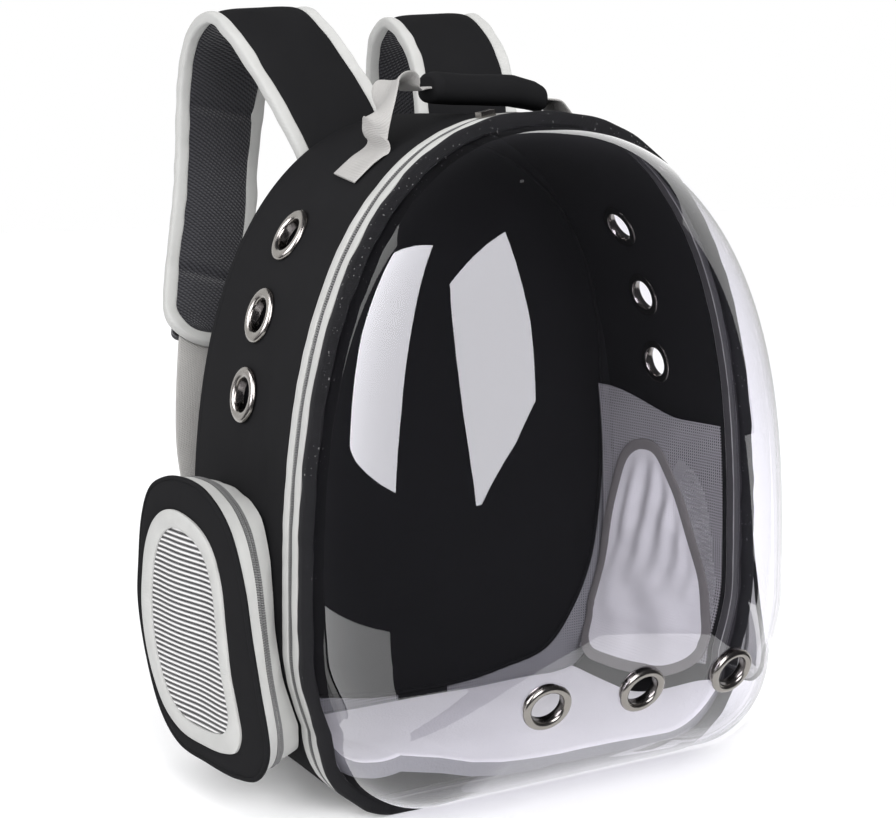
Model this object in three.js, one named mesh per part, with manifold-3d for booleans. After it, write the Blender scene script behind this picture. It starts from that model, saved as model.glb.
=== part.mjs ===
import * as THREE from 'three';
import { mergeVertices } from 'three/addons/utils/BufferGeometryUtils.js';
import Module from 'manifold-3d';

// Bubble pet carrier backpack, in millimetres.
// The origin is the middle of the shell's flat base. The clear dome faces -Y, the straps +Y.

// Shell: an arched body with a flat bottom, round lower corners and sides that lean in
const SHELL_HEIGHT = 420;
const SHELL_WIDTH = 334;
const SHELL_DEPTH = 160;
const SPRING_HEIGHT = 107;
const BASE_LEAN = 11;
const CORNER_RADIUS = 57;
const ARCH_SIDE_POWER = 2.26;
const ARCH_TOP_POWER = 2.69;
const WALL = 3;
const PANEL_THICKNESS = 5;
const GAP = 0.3;

// Rim: black binding, then tape, coil and tape of the zip that opens the front
const BINDING_LIP = 8;
const BINDING_SIDE = 1.6;
const BINDING_FRONT = 4;
const ZIP_TAPE = 8.4;
const ZIP_COIL = 4.2;
const ZIP_THICKNESS = 2.4;
const SLIDER_LENGTH = 10;
const SLIDER_WIDTH = 7;
const SLIDER_HEIGHT = 3.5;
const SLIDER_SIDE = 33;

// Dome: clear sheet, blown out from a flange that is sewn behind the binding
const DOME_BULGE = 125;
const DOME_WALL = 2;
const DOME_CENTRE = 208;
const DOME_BULGE_POWER = 2.15;
const DOME_PLAN_POWER = 2.3;

// Eyelets: a larger one in the side walls, a smaller one in the dome
const WALL_EYELET = { outer: 35, bore: 21, outside: 0.6, inside: 2.0 };
const DOME_EYELET = { outer: 30, bore: 20, outside: 0.9, inside: 2.4 };
const EYELET_FLANGE = 1.8;
const EYELET_BARREL = 1.6;
const DOME_EYELET_HEIGHT = 90;
const DOME_EYELET_SPREAD = 65;
const SIDE_EYELET_LINE = 92;
const SIDE_EYELET_TOP = 0.8215 * SHELL_HEIGHT;
const SIDE_EYELET_STEP = 0.115 * SHELL_HEIGHT;

// Floor mat, with its sides curled up the round corners
const MAT_THICKNESS = 12;
const MAT_FRONT = 3;
const MAT_CURL = 35;

// Net lining inside each side wall
const NET_THICKNESS = 1.2;
const NET_TOP = 222;
const NET_FRONT = 24;
const NET_BACK = 150;
const NET_LEAN = 13;
const NET_DROP = 10;

// Side pocket, tilted outwards towards the back
const POCKET_FRONT_REACH = 17;
const POCKET_BACK_REACH = 39;
const POCKET_WALL = 2;
const POCKET_FACE = 3;
const POCKET_SEAT = 1.3;
const POCKET_TRIM = 1.2;
const MESH_THICKNESS = 1;
const BAND_INNER_SHARE = 0.42;
const BAND_ZIP_SHARE = 0.64;
const TAB_HEIGHT = 24;
const TAB_LENGTH = 5;
const TAB_THICKNESS = 2.4;

// Shoulder straps: padded, edged with binding, looping back behind the panel
const STRAP_WIDTH = 76;
const STRAP_THICKNESS = 10;
const STRAP_BINDING = 8;
const STRAP_RISE = 69;
const STRAP_REACH = 147;
const STRAP_SPREAD = 128;
const STRAP_END_ROUND = 26;
const STRAP_LEAN = { left: -5, right: 4 };

// Strap webbing and its buckle
const WEBBING_WIDTH = 30;
const WEBBING_THICKNESS = 1.6;
const BUCKLE_BAR = 4;
const BUCKLE_SLOT = 6;
const BUCKLE_THICKNESS = 3.4;
const BUCKLE_MARGIN = 5;
const ANCHOR_SIDE = 138;
const ANCHOR_HEIGHT = 50;

// Carrying handle on top
const HANDLE_LINE = 75;
const HANDLE_WEBBING = 38;
const HANDLE_WEBBING_THICKNESS = 1.8;
const HANDLE_SEAT = 0.9;
const SLEEVE_LENGTH = 84;
const SLEEVE_OFFSET = 3.5;
const SLEEVE_DEPTH = 30;
const SLEEVE_HEIGHT = 16;
const SLEEVE_LIFT = 14;
const HANDLE_SPREAD = 102;
const CORE_WIDTH = 15;
const CORE_REACH = 1.06;

// How finely the curves are divided
const HALF_STEPS = 28;
const DOME_RINGS = 8;
const POCKET_STEPS = 22;
const EYELET_STEPS = 14;
const STRAP_STEPS = 18;

// Pocket outlines as shares of their own box: back from its front edge, up from its lower edge.
// The seam on the shell is a fuller shape than the face, and the window a slimmer one.
const SEAM_ROWS = [
  { back: 0.65, up: 1.0 },
  { back: 0.83, up: 0.98 },
  { back: 0.94, up: 0.88 },
  { back: 0.99, up: 0.72 },
  { back: 1.0, up: 0.5 },
  { back: 0.94, up: 0.3 },
  { back: 0.82, up: 0.12 },
  { back: 0.68, up: 0.02 },
  { back: 0.42, up: 0.0 },
  { back: 0.13, up: 0.01 },
  { back: 0.01, up: 0.08 },
  { back: 0.0, up: 0.36 },
  { back: 0.048, up: 0.55 },
  { back: 0.095, up: 0.78 },
  { back: 0.21, up: 0.93 },
  { back: 0.44, up: 0.99 },
];
const FACE_ROWS = [
  { back: 0.57, up: 1.0 },
  { back: 0.745, up: 0.985 },
  { back: 0.875, up: 0.93 },
  { back: 0.945, up: 0.82 },
  { back: 0.985, up: 0.64 },
  { back: 1.0, up: 0.5 },
  { back: 0.945, up: 0.3 },
  { back: 0.83, up: 0.11 },
  { back: 0.69, up: 0.02 },
  { back: 0.46, up: 0.0 },
  { back: 0.22, up: 0.0 },
  { back: 0.07, up: 0.035 },
  { back: 0.0, up: 0.13 },
  { back: 0.06, up: 0.35 },
  { back: 0.11, up: 0.51 },
  { back: 0.16, up: 0.69 },
  { back: 0.26, up: 0.87 },
  { back: 0.41, up: 0.97 },
];
const WINDOW_ROWS = [
  { back: 0.6, up: 1.0 },
  { back: 0.74, up: 0.98 },
  { back: 0.86, up: 0.91 },
  { back: 0.94, up: 0.8 },
  { back: 0.98, up: 0.67 },
  { back: 1.0, up: 0.52 },
  { back: 0.97, up: 0.36 },
  { back: 0.9, up: 0.22 },
  { back: 0.78, up: 0.09 },
  { back: 0.6, up: 0.015 },
  { back: 0.36, up: 0.0 },
  { back: 0.16, up: 0.01 },
  { back: 0.04, up: 0.045 },
  { back: 0.0, up: 0.12 },
  { back: 0.03, up: 0.22 },
  { back: 0.09, up: 0.36 },
  { back: 0.13, up: 0.55 },
  { back: 0.17, up: 0.75 },
  { back: 0.25, up: 0.88 },
  { back: 0.37, up: 0.955 },
];

// Boxes that these outlines fill, from the rim plane back and from the base up
const POCKET_BOXES = {
  base: { rows: SEAM_ROWS, front: 24, depth: 126, bottom: 34, height: 157 },
  opening: { rows: SEAM_ROWS, front: 32, depth: 110, bottom: 42, height: 140 },
  face: { rows: FACE_ROWS, front: 5, depth: 147, bottom: 27, height: 172 },
  trim: { rows: WINDOW_ROWS, front: 31, depth: 115, bottom: 37, height: 142 },
  window: { rows: WINDOW_ROWS, front: 44, depth: 90, bottom: 47, height: 121 },
};

// Strap centre line from its seam on the panel, over the arch, to its lower end.
// out: share of STRAP_SPREAD; back: share of STRAP_REACH; up: share of the arch's top height
const STRAP_PATH = [
  { out: 0.35, back: 0.0, up: 0.706, width: 0.92 },
  { out: 0.35, back: 0.0, up: 0.754, width: 0.97 },
  { out: 0.36, back: 0.015, up: 0.803, width: 1.0 },
  { out: 0.41, back: 0.11, up: 0.859, width: 1.0 },
  { out: 0.48, back: 0.25, up: 0.918, width: 1.0 },
  { out: 0.52, back: 0.44, up: 0.969, width: 1.0 },
  { out: 0.54, back: 0.67, up: 1.0, width: 1.01 },
  { out: 0.57, back: 0.88, up: 0.971, width: 0.95 },
  { out: 0.6, back: 0.99, up: 0.9, width: 0.86 },
  { out: 0.66, back: 0.95, up: 0.808, width: 0.81 },
  { out: 0.74, back: 0.83, up: 0.726, width: 0.8 },
  { out: 0.86, back: 0.67, up: 0.644, width: 0.79 },
  { out: 0.97, back: 0.5, up: 0.573, width: 0.77 },
  { out: 1.02, back: 0.425, up: 0.541, width: 0.76 },
];

// Strap webbing below the buckle, down to its sewn end. down: share of its drop;
// back: share of the buckle's distance behind the panel; out: share of ANCHOR_SIDE
const HANG_ROWS = [
  { down: 0.3, back: 0.6, out: 1.05 },
  { down: 0.5, back: 0.3, out: 1.06 },
  { down: 0.68, back: 0.1, out: 1.05 },
  { down: 0.82, back: 0, out: 1.03 },
  { down: 1, back: 0, out: 1 },
];

// Handle webbing, from its sewn end up to the sleeve. along: share of HANDLE_SPREAD from the
// middle; lifts: share of SLEEVE_LIFT above the shell; rear and front: share of its width
const LEFT_RIBBON = [
  { along: 0.98, rearLift: 0, frontLift: 0, rear: 0.24, front: -0.74, slant: 0.03 },
  { along: 0.88, rearLift: 0, frontLift: 0, rear: 0.17, front: -0.8, slant: 0.04 },
  { along: 0.78, rearLift: 0.06, frontLift: 0.06, rear: 0.08, front: -0.87, slant: 0.03 },
  { along: 0.76, rearLift: 0.78, frontLift: 0.6, rear: -0.08, front: -0.82, slant: 0.0 },
  { along: 0.73, rearLift: 1.36, frontLift: 0.9, rear: -0.3, front: -0.79, slant: -0.04 },
  { along: 0.62, rearLift: 1.42, frontLift: 1.72, rear: 0.06, front: -0.79, slant: 0.1 },
  { along: 0.51, rearLift: 1.86, frontLift: 2.0, rear: 0.36, front: -0.58, slant: 0.02 },
  { along: 0.43, rearLift: 1.35, frontLift: 1.35, rear: 0.34, front: -0.36, slant: 0 },
];
const RIGHT_RIBBON = [
  { along: 0.98, rearLift: 0, frontLift: 0, rear: 0.4, front: -0.58, slant: 0 },
  { along: 0.85, rearLift: 0, frontLift: 0, rear: 0.4, front: -0.56, slant: 0 },
  { along: 0.73, rearLift: 0, frontLift: 0, rear: 0.4, front: -0.52, slant: 0 },
  { along: 0.62, rearLift: 0.25, frontLift: 0.25, rear: 0.4, front: -0.46, slant: 0 },
  { along: 0.53, rearLift: 0.72, frontLift: 0.72, rear: 0.39, front: -0.42, slant: 0 },
  { along: 0.47, rearLift: 0.98, frontLift: 0.98, rear: 0.38, front: -0.38, slant: 0 },
];

// Handle sleeve sections. along: share of its half length; up and thick: shares of its height
const SLEEVE_SECTIONS = [
  { along: -1, up: 0.06, thick: 0.86, deep: 0.84 },
  { along: -0.88, up: 0.08, thick: 0.98, deep: 0.96 },
  { along: -0.5, up: 0.04, thick: 1, deep: 1 },
  { along: 0, up: 0.02, thick: 1, deep: 1 },
  { along: 0.45, up: 0, thick: 1, deep: 1 },
  { along: 0.8, up: -0.16, thick: 0.94, deep: 0.96 },
  { along: 0.94, up: -0.28, thick: 0.86, deep: 0.86 },
  { along: 1, up: -0.32, thick: 0.7, deep: 0.74 },
];

const HALF_WIDTH = SHELL_WIDTH / 2;
const RIM_Y = -SHELL_DEPTH / 2;
const BACK_Y = SHELL_DEPTH / 2;
const PANEL_FRONT_Y = BACK_Y - PANEL_THICKNESS;

const wasm = await Module();
wasm.setup();

const group = new THREE.Group();

function cloth(color, roughness = 0.9) {
  return new THREE.MeshStandardMaterial({ color, roughness, metalness: 0 });
}

const BLACK_CLOTH = 0x29292b;
const BLACK_BINDING = 0x1c1c1e;
const GREY_TAPE = 0xc9c8c6;
const DARK_COIL = 0x5b5b5b;
const MAT_WHITE = 0xd7d6d8;
const NICKEL = 0x8d857c;
const CLEAR = 0xdcdbe4;

function addPiece(name, geometry, material) {
  const mesh = new THREE.Mesh(geometry, material);
  mesh.name = name;
  group.add(mesh);
}

// Six times the signed volume that a triangle list closes
function signedVolume(positions, index) {
  let total = 0;
  const corner = [0, 1, 2].map(() => new THREE.Vector3());
  for (let i = 0; i < index.length; i += 3) {
    corner.forEach((v, k) => v.fromArray(positions, 3 * index[i + k]));
    total += corner[0].dot(corner[1].clone().cross(corner[2]));
  }
  return total;
}

function makeGeometry(positions, index) {
  if (signedVolume(positions, index) < 0) {
    for (let i = 0; i < index.length; i += 3) {
      [index[i + 1], index[i + 2]] = [index[i + 2], index[i + 1]];
    }
  }
  const geometry = new THREE.BufferGeometry();
  geometry.setAttribute('position', new THREE.Float32BufferAttribute(positions, 3));
  geometry.setIndex(index);
  geometry.computeVertexNormals();
  return geometry;
}

// A closed skin through rings of equal count. It closes on itself where wrap is true,
// otherwise each end closes on a point: the one given, or the middle of the end ring.
// Faces split along one diagonal, and in the columns listed as crossed along the other.
function loft(rings, { wrap = false, start = null, end = null, crossed = [] } = {}) {
  const count = rings[0].length;
  const positions = rings.flat().flatMap((p) => [p.x, p.y, p.z]);
  const index = [];
  const spans = wrap ? rings.length : rings.length - 1;
  for (let r = 0; r < spans; r += 1) {
    const next = (r + 1) % rings.length;
    for (let i = 0; i < count; i += 1) {
      const j = (i + 1) % count;
      const [a, b, c, d] = [r * count + i, r * count + j, next * count + j, next * count + i];
      index.push(...(crossed.includes(i) ? [a, b, d, b, c, d] : [a, b, c, a, c, d]));
    }
  }
  if (!wrap) {
    const caps = [[0, start, true], [rings.length - 1, end, false]];
    for (const [r, point, first] of caps) {
      const middle = point ?? averagePoint(rings[r]);
      const hub = positions.length / 3;
      positions.push(middle.x, middle.y, middle.z);
      for (let i = 0; i < count; i += 1) {
        const j = (i + 1) % count;
        const [a, b] = [r * count + i, r * count + j];
        index.push(...(first ? [hub, b, a] : [hub, a, b]));
      }
    }
  }
  return makeGeometry(positions, index);
}

function averagePoint(points) {
  const sum = points.reduce((total, p) => total.add(p), new THREE.Vector3());
  return sum.divideScalar(points.length);
}

function toSolid(geometry) {
  const plain = geometry.clone();
  plain.deleteAttribute('normal');
  plain.deleteAttribute('uv');
  const merged = mergeVertices(plain, 1e-4);
  return new wasm.Manifold(new wasm.Mesh({
    numProp: 3,
    vertProperties: new Float32Array(merged.attributes.position.array),
    triVerts: new Uint32Array(merged.index.array),
  }));
}

function fromSolid(solid) {
  const mesh = solid.getMesh();
  return makeGeometry(Array.from(mesh.vertProperties), Array.from(mesh.triVerts));
}

function cut(geometry, cutters) {
  let solid = toSolid(geometry);
  for (const cutter of cutters) {
    solid = solid.subtract(toSolid(cutter));
  }
  return fromSolid(solid);
}

function mirrored(geometry) {
  const copy = geometry.clone().applyMatrix4(new THREE.Matrix4().makeScale(-1, 1, 1));
  return makeGeometry(Array.from(copy.attributes.position.array), Array.from(copy.index.array));
}

const sideOf = { left: (geometry) => mirrored(geometry), right: (geometry) => geometry };

// Right half of the shell outline, from the middle of the base to the top of the arch
function denseHalf() {
  const points = [];
  const flat = HALF_WIDTH - BASE_LEAN - CORNER_RADIUS;
  const parts = 60;
  for (let i = 0; i < parts; i += 1) {
    points.push([(flat * i) / parts, 0]);
  }
  for (let i = 0; i < parts; i += 1) {
    const turn = (Math.PI / 2) * (i / parts);
    const x = flat + CORNER_RADIUS * Math.sin(turn);
    points.push([x, CORNER_RADIUS * (1 - Math.cos(turn))]);
  }
  for (let i = 0; i < parts; i += 1) {
    const share = i / parts;
    const x = HALF_WIDTH - BASE_LEAN + BASE_LEAN * Math.sin((share * Math.PI) / 2);
    points.push([x, CORNER_RADIUS + (SPRING_HEIGHT - CORNER_RADIUS) * share]);
  }
  const rise = SHELL_HEIGHT - SPRING_HEIGHT;
  for (let i = 0; i <= 5 * parts; i += 1) {
    const turn = (Math.PI / 2) * (i / (5 * parts)) ** 1.3;
    const x = HALF_WIDTH * Math.max(Math.cos(turn), 0) ** (2 / ARCH_SIDE_POWER);
    points.push([x, SPRING_HEIGHT + rise * Math.sin(turn) ** (2 / ARCH_TOP_POWER)]);
  }
  return points;
}

// The same half with few points, closer together where it bends, each with its normal
function sampledHalf() {
  const dense = denseHalf();
  const bendWeight = 60;
  const travel = [0];
  for (let i = 1; i < dense.length; i += 1) {
    const [ax, az] = dense[i - 1];
    const [bx, bz] = dense[i];
    const length = Math.hypot(bx - ax, bz - az);
    const [cx, cz] = dense[Math.min(i + 1, dense.length - 1)];
    const before = Math.atan2(bz - az, bx - ax);
    const after = Math.atan2(cz - bz, cx - bx);
    const turn = i + 1 < dense.length ? Math.abs(after - before) : 0;
    travel.push(travel[i - 1] + length + bendWeight * Math.min(turn, 0.2));
  }
  const total = travel[travel.length - 1];
  const half = [];
  for (let step = 0; step <= HALF_STEPS; step += 1) {
    const goal = (total * step) / HALF_STEPS;
    let k = travel.findIndex((t) => t >= goal - 1e-9);
    k = Math.max(k, 1);
    const share = (goal - travel[k - 1]) / (travel[k] - travel[k - 1]);
    const [ax, az] = dense[k - 1];
    const [bx, bz] = dense[k];
    const length = Math.hypot(bx - ax, bz - az);
    half.push({
      x: ax + (bx - ax) * share,
      z: az + (bz - az) * share,
      nx: (bz - az) / length,
      nz: -(bx - ax) / length,
    });
  }
  Object.assign(half[0], { x: 0, nx: 0, nz: -1 });
  Object.assign(half[HALF_STEPS], { x: 0, nx: 0, nz: 1 });
  return half;
}

const RIGHT_HALF = sampledHalf();
const OUTLINE = [
  ...RIGHT_HALF,
  ...RIGHT_HALF.slice(1, -1).reverse().map((p) => ({ x: -p.x, z: p.z, nx: -p.nx, nz: p.nz })),
];

function outlineRing(inset, y) {
  return OUTLINE.map((p) => new THREE.Vector3(p.x - p.nx * inset, y, p.z - p.nz * inset));
}

// A ring whose section runs round the outline: each corner has an inset and a place along Y
function outlineBand(section) {
  const rings = section.map(({ inset, y }) => outlineRing(inset, y));
  const loops = OUTLINE.map((_, i) => rings.map((ring) => ring[i]));
  return loft(loops, { wrap: true });
}

function flatBand(front, back, thickness) {
  return outlineBand([
    { inset: 0, y: front },
    { inset: 0, y: back },
    { inset: thickness, y: back },
    { inset: thickness, y: front },
  ]);
}

// Point and outward normal of the right wall at a height
function wallAt(height) {
  const k = RIGHT_HALF.findIndex((p) => p.z > height);
  const [a, b] = [RIGHT_HALF[k - 1], RIGHT_HALF[k]];
  const share = (height - a.z) / (b.z - a.z);
  const point = new THREE.Vector3(a.x + (b.x - a.x) * share, 0, height);
  const from = new THREE.Vector3(a.nx, 0, a.nz);
  const normal = from.lerp(new THREE.Vector3(b.nx, 0, b.nz), share).normalize();
  return { point, normal };
}

// Point and outward normal of the arch at a distance from the middle, right side
function archAt(side) {
  const top = RIGHT_HALF.slice().reverse();
  const k = Math.max(top.findIndex((p) => p.x > side), 1);
  const [a, b] = [top[k - 1], top[k]];
  const share = (side - a.x) / (b.x - a.x);
  const point = new THREE.Vector3(side, 0, a.z + (b.z - a.z) * share);
  const from = new THREE.Vector3(a.nx, 0, a.nz);
  const normal = from.lerp(new THREE.Vector3(b.nx, 0, b.nz), share).normalize();
  return { point, normal };
}

// Rim, from front to back
const ZIP_FRONT_Y = RIM_Y + 2 * GAP;
const COIL_FRONT_Y = ZIP_FRONT_Y + ZIP_TAPE + GAP;
const REAR_TAPE_FRONT_Y = COIL_FRONT_Y + ZIP_COIL + GAP;
const WALL_FRONT_Y = REAR_TAPE_FRONT_Y + ZIP_TAPE + GAP;
const FLANGE_BACK_Y = RIM_Y + GAP;
const FLANGE_FRONT_Y = FLANGE_BACK_Y - DOME_WALL;
const LIP_BACK_Y = FLANGE_FRONT_Y - GAP;

function buildRim() {
  const binding = outlineBand([
    { inset: 0, y: RIM_Y - BINDING_FRONT },
    { inset: 0, y: RIM_Y + GAP },
    { inset: BINDING_SIDE, y: RIM_Y + GAP },
    { inset: BINDING_SIDE, y: LIP_BACK_Y },
    { inset: BINDING_LIP, y: LIP_BACK_Y },
    { inset: BINDING_LIP, y: RIM_Y - BINDING_FRONT },
  ]);
  addPiece('rim_binding', binding, cloth(BLACK_BINDING));
  const tapes = { zip_tape_front: ZIP_FRONT_Y, zip_tape_rear: REAR_TAPE_FRONT_Y };
  for (const [name, y] of Object.entries(tapes)) {
    addPiece(name, flatBand(y, y + ZIP_TAPE, ZIP_THICKNESS), cloth(GREY_TAPE));
  }
  const coil = flatBand(COIL_FRONT_Y, COIL_FRONT_Y + ZIP_COIL, ZIP_THICKNESS);
  addPiece('zip_coil', coil, cloth(DARK_COIL, 0.6));
}

// A slider body with a waist, sitting on the coil where the tape runs over the top
function buildSlider() {
  const { point, normal } = archAt(SLIDER_SIDE);
  const waist = 0.72;
  const shape = new THREE.Shape();
  shape.moveTo(-SLIDER_LENGTH / 2, -SLIDER_WIDTH / 2);
  shape.quadraticCurveTo(0, (-SLIDER_WIDTH / 2) * waist, SLIDER_LENGTH / 2, -SLIDER_WIDTH / 2);
  shape.lineTo(SLIDER_LENGTH / 2, SLIDER_WIDTH / 2);
  shape.quadraticCurveTo(0, (SLIDER_WIDTH / 2) * waist, -SLIDER_LENGTH / 2, SLIDER_WIDTH / 2);
  const body = new THREE.ExtrudeGeometry(shape, {
    depth: SLIDER_HEIGHT, bevelEnabled: false, curveSegments: 4,
  });
  const along = new THREE.Vector3(normal.z, 0, -normal.x);
  const back = new THREE.Vector3(0, 1, 0);
  const seat = point.clone().addScaledVector(normal, 2 * GAP);
  seat.y = COIL_FRONT_Y + ZIP_COIL / 2;
  body.applyMatrix4(new THREE.Matrix4().makeBasis(along, back.negate(), normal).setPosition(seat));
  const metal = new THREE.MeshStandardMaterial({ color: NICKEL, roughness: 0.35, metalness: 1 });
  addPiece('zip_slider', sideOf.left(fromSolid(toSolid(body))), metal);
}

// Dome surface: the rim outline shrinks towards its centre as it moves forward
function domeRing(turn, inset, bulge, baseY) {
  const shrink = Math.cos(turn) ** (2 / DOME_PLAN_POWER);
  const y = baseY - bulge * Math.sin(turn) ** (2 / DOME_BULGE_POWER);
  return outlineRing(inset, y).map((p) => new THREE.Vector3(
    p.x * shrink, y, DOME_CENTRE + (p.z - DOME_CENTRE) * shrink));
}

const DOME_INSET = BINDING_LIP + GAP;

// Depth of the dome's outer surface in front of its flange, at a place seen from the front
function domeDepth(x, z) {
  const ring = outlineRing(DOME_INSET, 0);
  const [dx, dz] = [x, z - DOME_CENTRE];
  let shrink = 0;
  for (let i = 0; i < ring.length; i += 1) {
    const a = ring[i];
    const b = ring[(i + 1) % ring.length];
    const [ex, ez] = [b.x - a.x, b.z - a.z];
    const cross = dx * ez - dz * ex;
    const reach = (a.x * ez - (a.z - DOME_CENTRE) * ex) / cross;
    const share = (a.x * dz - (a.z - DOME_CENTRE) * dx) / cross;
    if (reach > 0 && share >= 0 && share < 1) {
      shrink = 1 / reach;
    }
  }
  const turn = Math.acos(shrink ** (DOME_PLAN_POWER / 2));
  return DOME_BULGE * Math.sin(turn) ** (2 / DOME_BULGE_POWER);
}

function domeFrame(x, z) {
  const step = 6;
  const y = FLANGE_FRONT_Y - domeDepth(x, z);
  const slopeX = (domeDepth(x + step, z) - domeDepth(x - step, z)) / (2 * step);
  const slopeZ = (domeDepth(x, z + step) - domeDepth(x, z - step)) / (2 * step);
  const normal = new THREE.Vector3(-slopeX, -1, -slopeZ).normalize();
  return { point: new THREE.Vector3(x, y, z), normal };
}

// Turns a shape made round the Z axis so that it stands on a surface
function standOn(geometry, { point, normal }) {
  const turn = new THREE.Quaternion().setFromUnitVectors(new THREE.Vector3(0, 0, 1), normal);
  const one = new THREE.Vector3(1, 1, 1);
  return geometry.applyMatrix4(new THREE.Matrix4().compose(point, turn, one));
}

function eyeletHole(frame, size) {
  const radius = size.bore / 2 + EYELET_BARREL + GAP;
  const hole = new THREE.CylinderGeometry(radius, radius, size.outer, EYELET_STEPS);
  return standOn(hole.rotateX(Math.PI / 2), frame);
}

// A spool: a domed ring outside, a barrel through the sheet and a flatter ring inside
function eyelet(frame, size, sheet) {
  const bore = size.bore / 2;
  const outer = size.outer / 2;
  const barrel = bore + EYELET_BARREL;
  const inside = -sheet - size.inside;
  const { outside } = size;
  const profile = [
    [bore, inside - EYELET_FLANGE],
    [outer - EYELET_FLANGE, inside - EYELET_FLANGE],
    [outer - EYELET_FLANGE, inside],
    [barrel, inside],
    [barrel, outside],
    [outer, outside],
    [(outer + bore) / 2, outside + EYELET_FLANGE],
    [bore, outside],
    [bore, inside - EYELET_FLANGE],
  ].map(([r, h]) => new THREE.Vector2(r, h));
  const ring = new THREE.LatheGeometry(profile, EYELET_STEPS).rotateX(Math.PI / 2);
  return fromSolid(toSolid(standOn(ring, frame)));
}

function buildDome() {
  const steps = Array.from({ length: DOME_RINGS - 1 }, (_, i) => i + 1);
  const turnOf = (i) => (Math.PI / 2) * (i / DOME_RINGS);
  const inner = DOME_INSET + DOME_WALL;
  const rings = [
    ...steps.slice().reverse().map((i) => domeRing(turnOf(i), DOME_INSET, DOME_BULGE, FLANGE_FRONT_Y)),
    outlineRing(DOME_INSET, FLANGE_FRONT_Y),
    outlineRing(BINDING_SIDE + GAP, FLANGE_FRONT_Y),
    outlineRing(BINDING_SIDE + GAP, FLANGE_BACK_Y),
    outlineRing(inner, FLANGE_BACK_Y),
    ...steps.map((i) => domeRing(turnOf(i), inner, DOME_BULGE, FLANGE_BACK_Y)),
  ];
  const start = new THREE.Vector3(0, FLANGE_FRONT_Y - DOME_BULGE, DOME_CENTRE);
  const end = new THREE.Vector3(0, FLANGE_BACK_Y - DOME_BULGE, DOME_CENTRE);
  const frames = [-1, 0, 1].map((k) => domeFrame(k * DOME_EYELET_SPREAD, DOME_EYELET_HEIGHT));
  const clear = new THREE.MeshStandardMaterial({ color: CLEAR, roughness: 0.05, metalness: 0 });
  const holes = frames.map((frame) => eyeletHole(frame, DOME_EYELET));
  addPiece('dome', cut(loft(rings, { start, end }), holes), clear);
  frames.forEach((frame, i) => addPiece(
    `dome_eyelet_${i + 1}`, eyelet(frame, DOME_EYELET, DOME_WALL), nickel()));
}

function nickel() {
  return new THREE.MeshStandardMaterial({ color: NICKEL, roughness: 0.3, metalness: 1 });
}

// Closed smooth pocket outline that fills a box, as places along Y and Z
function pocketLoop(box) {
  const corners = box.rows.map(({ back, up }) => new THREE.Vector3(0, back, up));
  const curve = new THREE.CatmullRomCurve3(corners, true, 'centripetal');
  return curve.getSpacedPoints(POCKET_STEPS).slice(0, POCKET_STEPS).map((p) => ({
    y: RIM_Y + box.front + p.y * box.depth,
    z: box.bottom + p.z * box.height,
  }));
}

// The pocket's outer face is a plane that stands out further at the back
function faceX(y) {
  const { front, depth } = POCKET_BOXES.face;
  const share = (y - RIM_Y - front) / depth;
  return HALF_WIDTH + POCKET_FRONT_REACH + (POCKET_BACK_REACH - POCKET_FRONT_REACH) * share;
}

const BASE_LOOP = pocketLoop(POCKET_BOXES.base).map(({ y, z }) => new THREE.Vector3(
  wallAt(z).point.x + POCKET_SEAT, y, z));
const FACE_LOOP = pocketLoop(POCKET_BOXES.face).map(({ y, z }) => new THREE.Vector3(faceX(y), y, z));

// One band of the pocket's side wall, between two shares of the way from shell to face
function pocketBand(from, to) {
  const inward = (p, centre) => {
    const step = centre.clone().sub(p).setX(0).setLength(POCKET_WALL);
    return p.clone().add(step);
  };
  const shift = (p, x) => p.clone().setX(p.x + x);
  const centre = averagePoint(FACE_LOOP);
  const loops = BASE_LOOP.map((base, i) => {
    const a = shift(base.clone().lerp(FACE_LOOP[i], from), GAP / 2);
    const b = shift(base.clone().lerp(FACE_LOOP[i], to), -GAP / 2);
    return [a, b, inward(b, centre), inward(a, centre)];
  });
  return loft(loops, { wrap: true });
}

// A flat ring in the pocket's face plane between two outlines
function faceRing(outerBox, innerBox, from, to) {
  const outer = pocketLoop(outerBox);
  const inner = pocketLoop(innerBox);
  const at = ({ y, z }, x) => new THREE.Vector3(faceX(y) + x, y, z);
  const loops = outer.map((p, i) => [at(p, from), at(p, to), at(inner[i], to), at(inner[i], from)]);
  return loft(loops, { wrap: true });
}

function faceSheet(box, from, to) {
  const at = (x) => pocketLoop(box).map(({ y, z }) => new THREE.Vector3(faceX(y) + x, y, z));
  return loft([at(from), at(to)]);
}

function grown(box, by) {
  return {
    rows: box.rows,
    front: box.front - by,
    depth: box.depth + 2 * by,
    bottom: box.bottom - by,
    height: box.height + 2 * by,
  };
}

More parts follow.
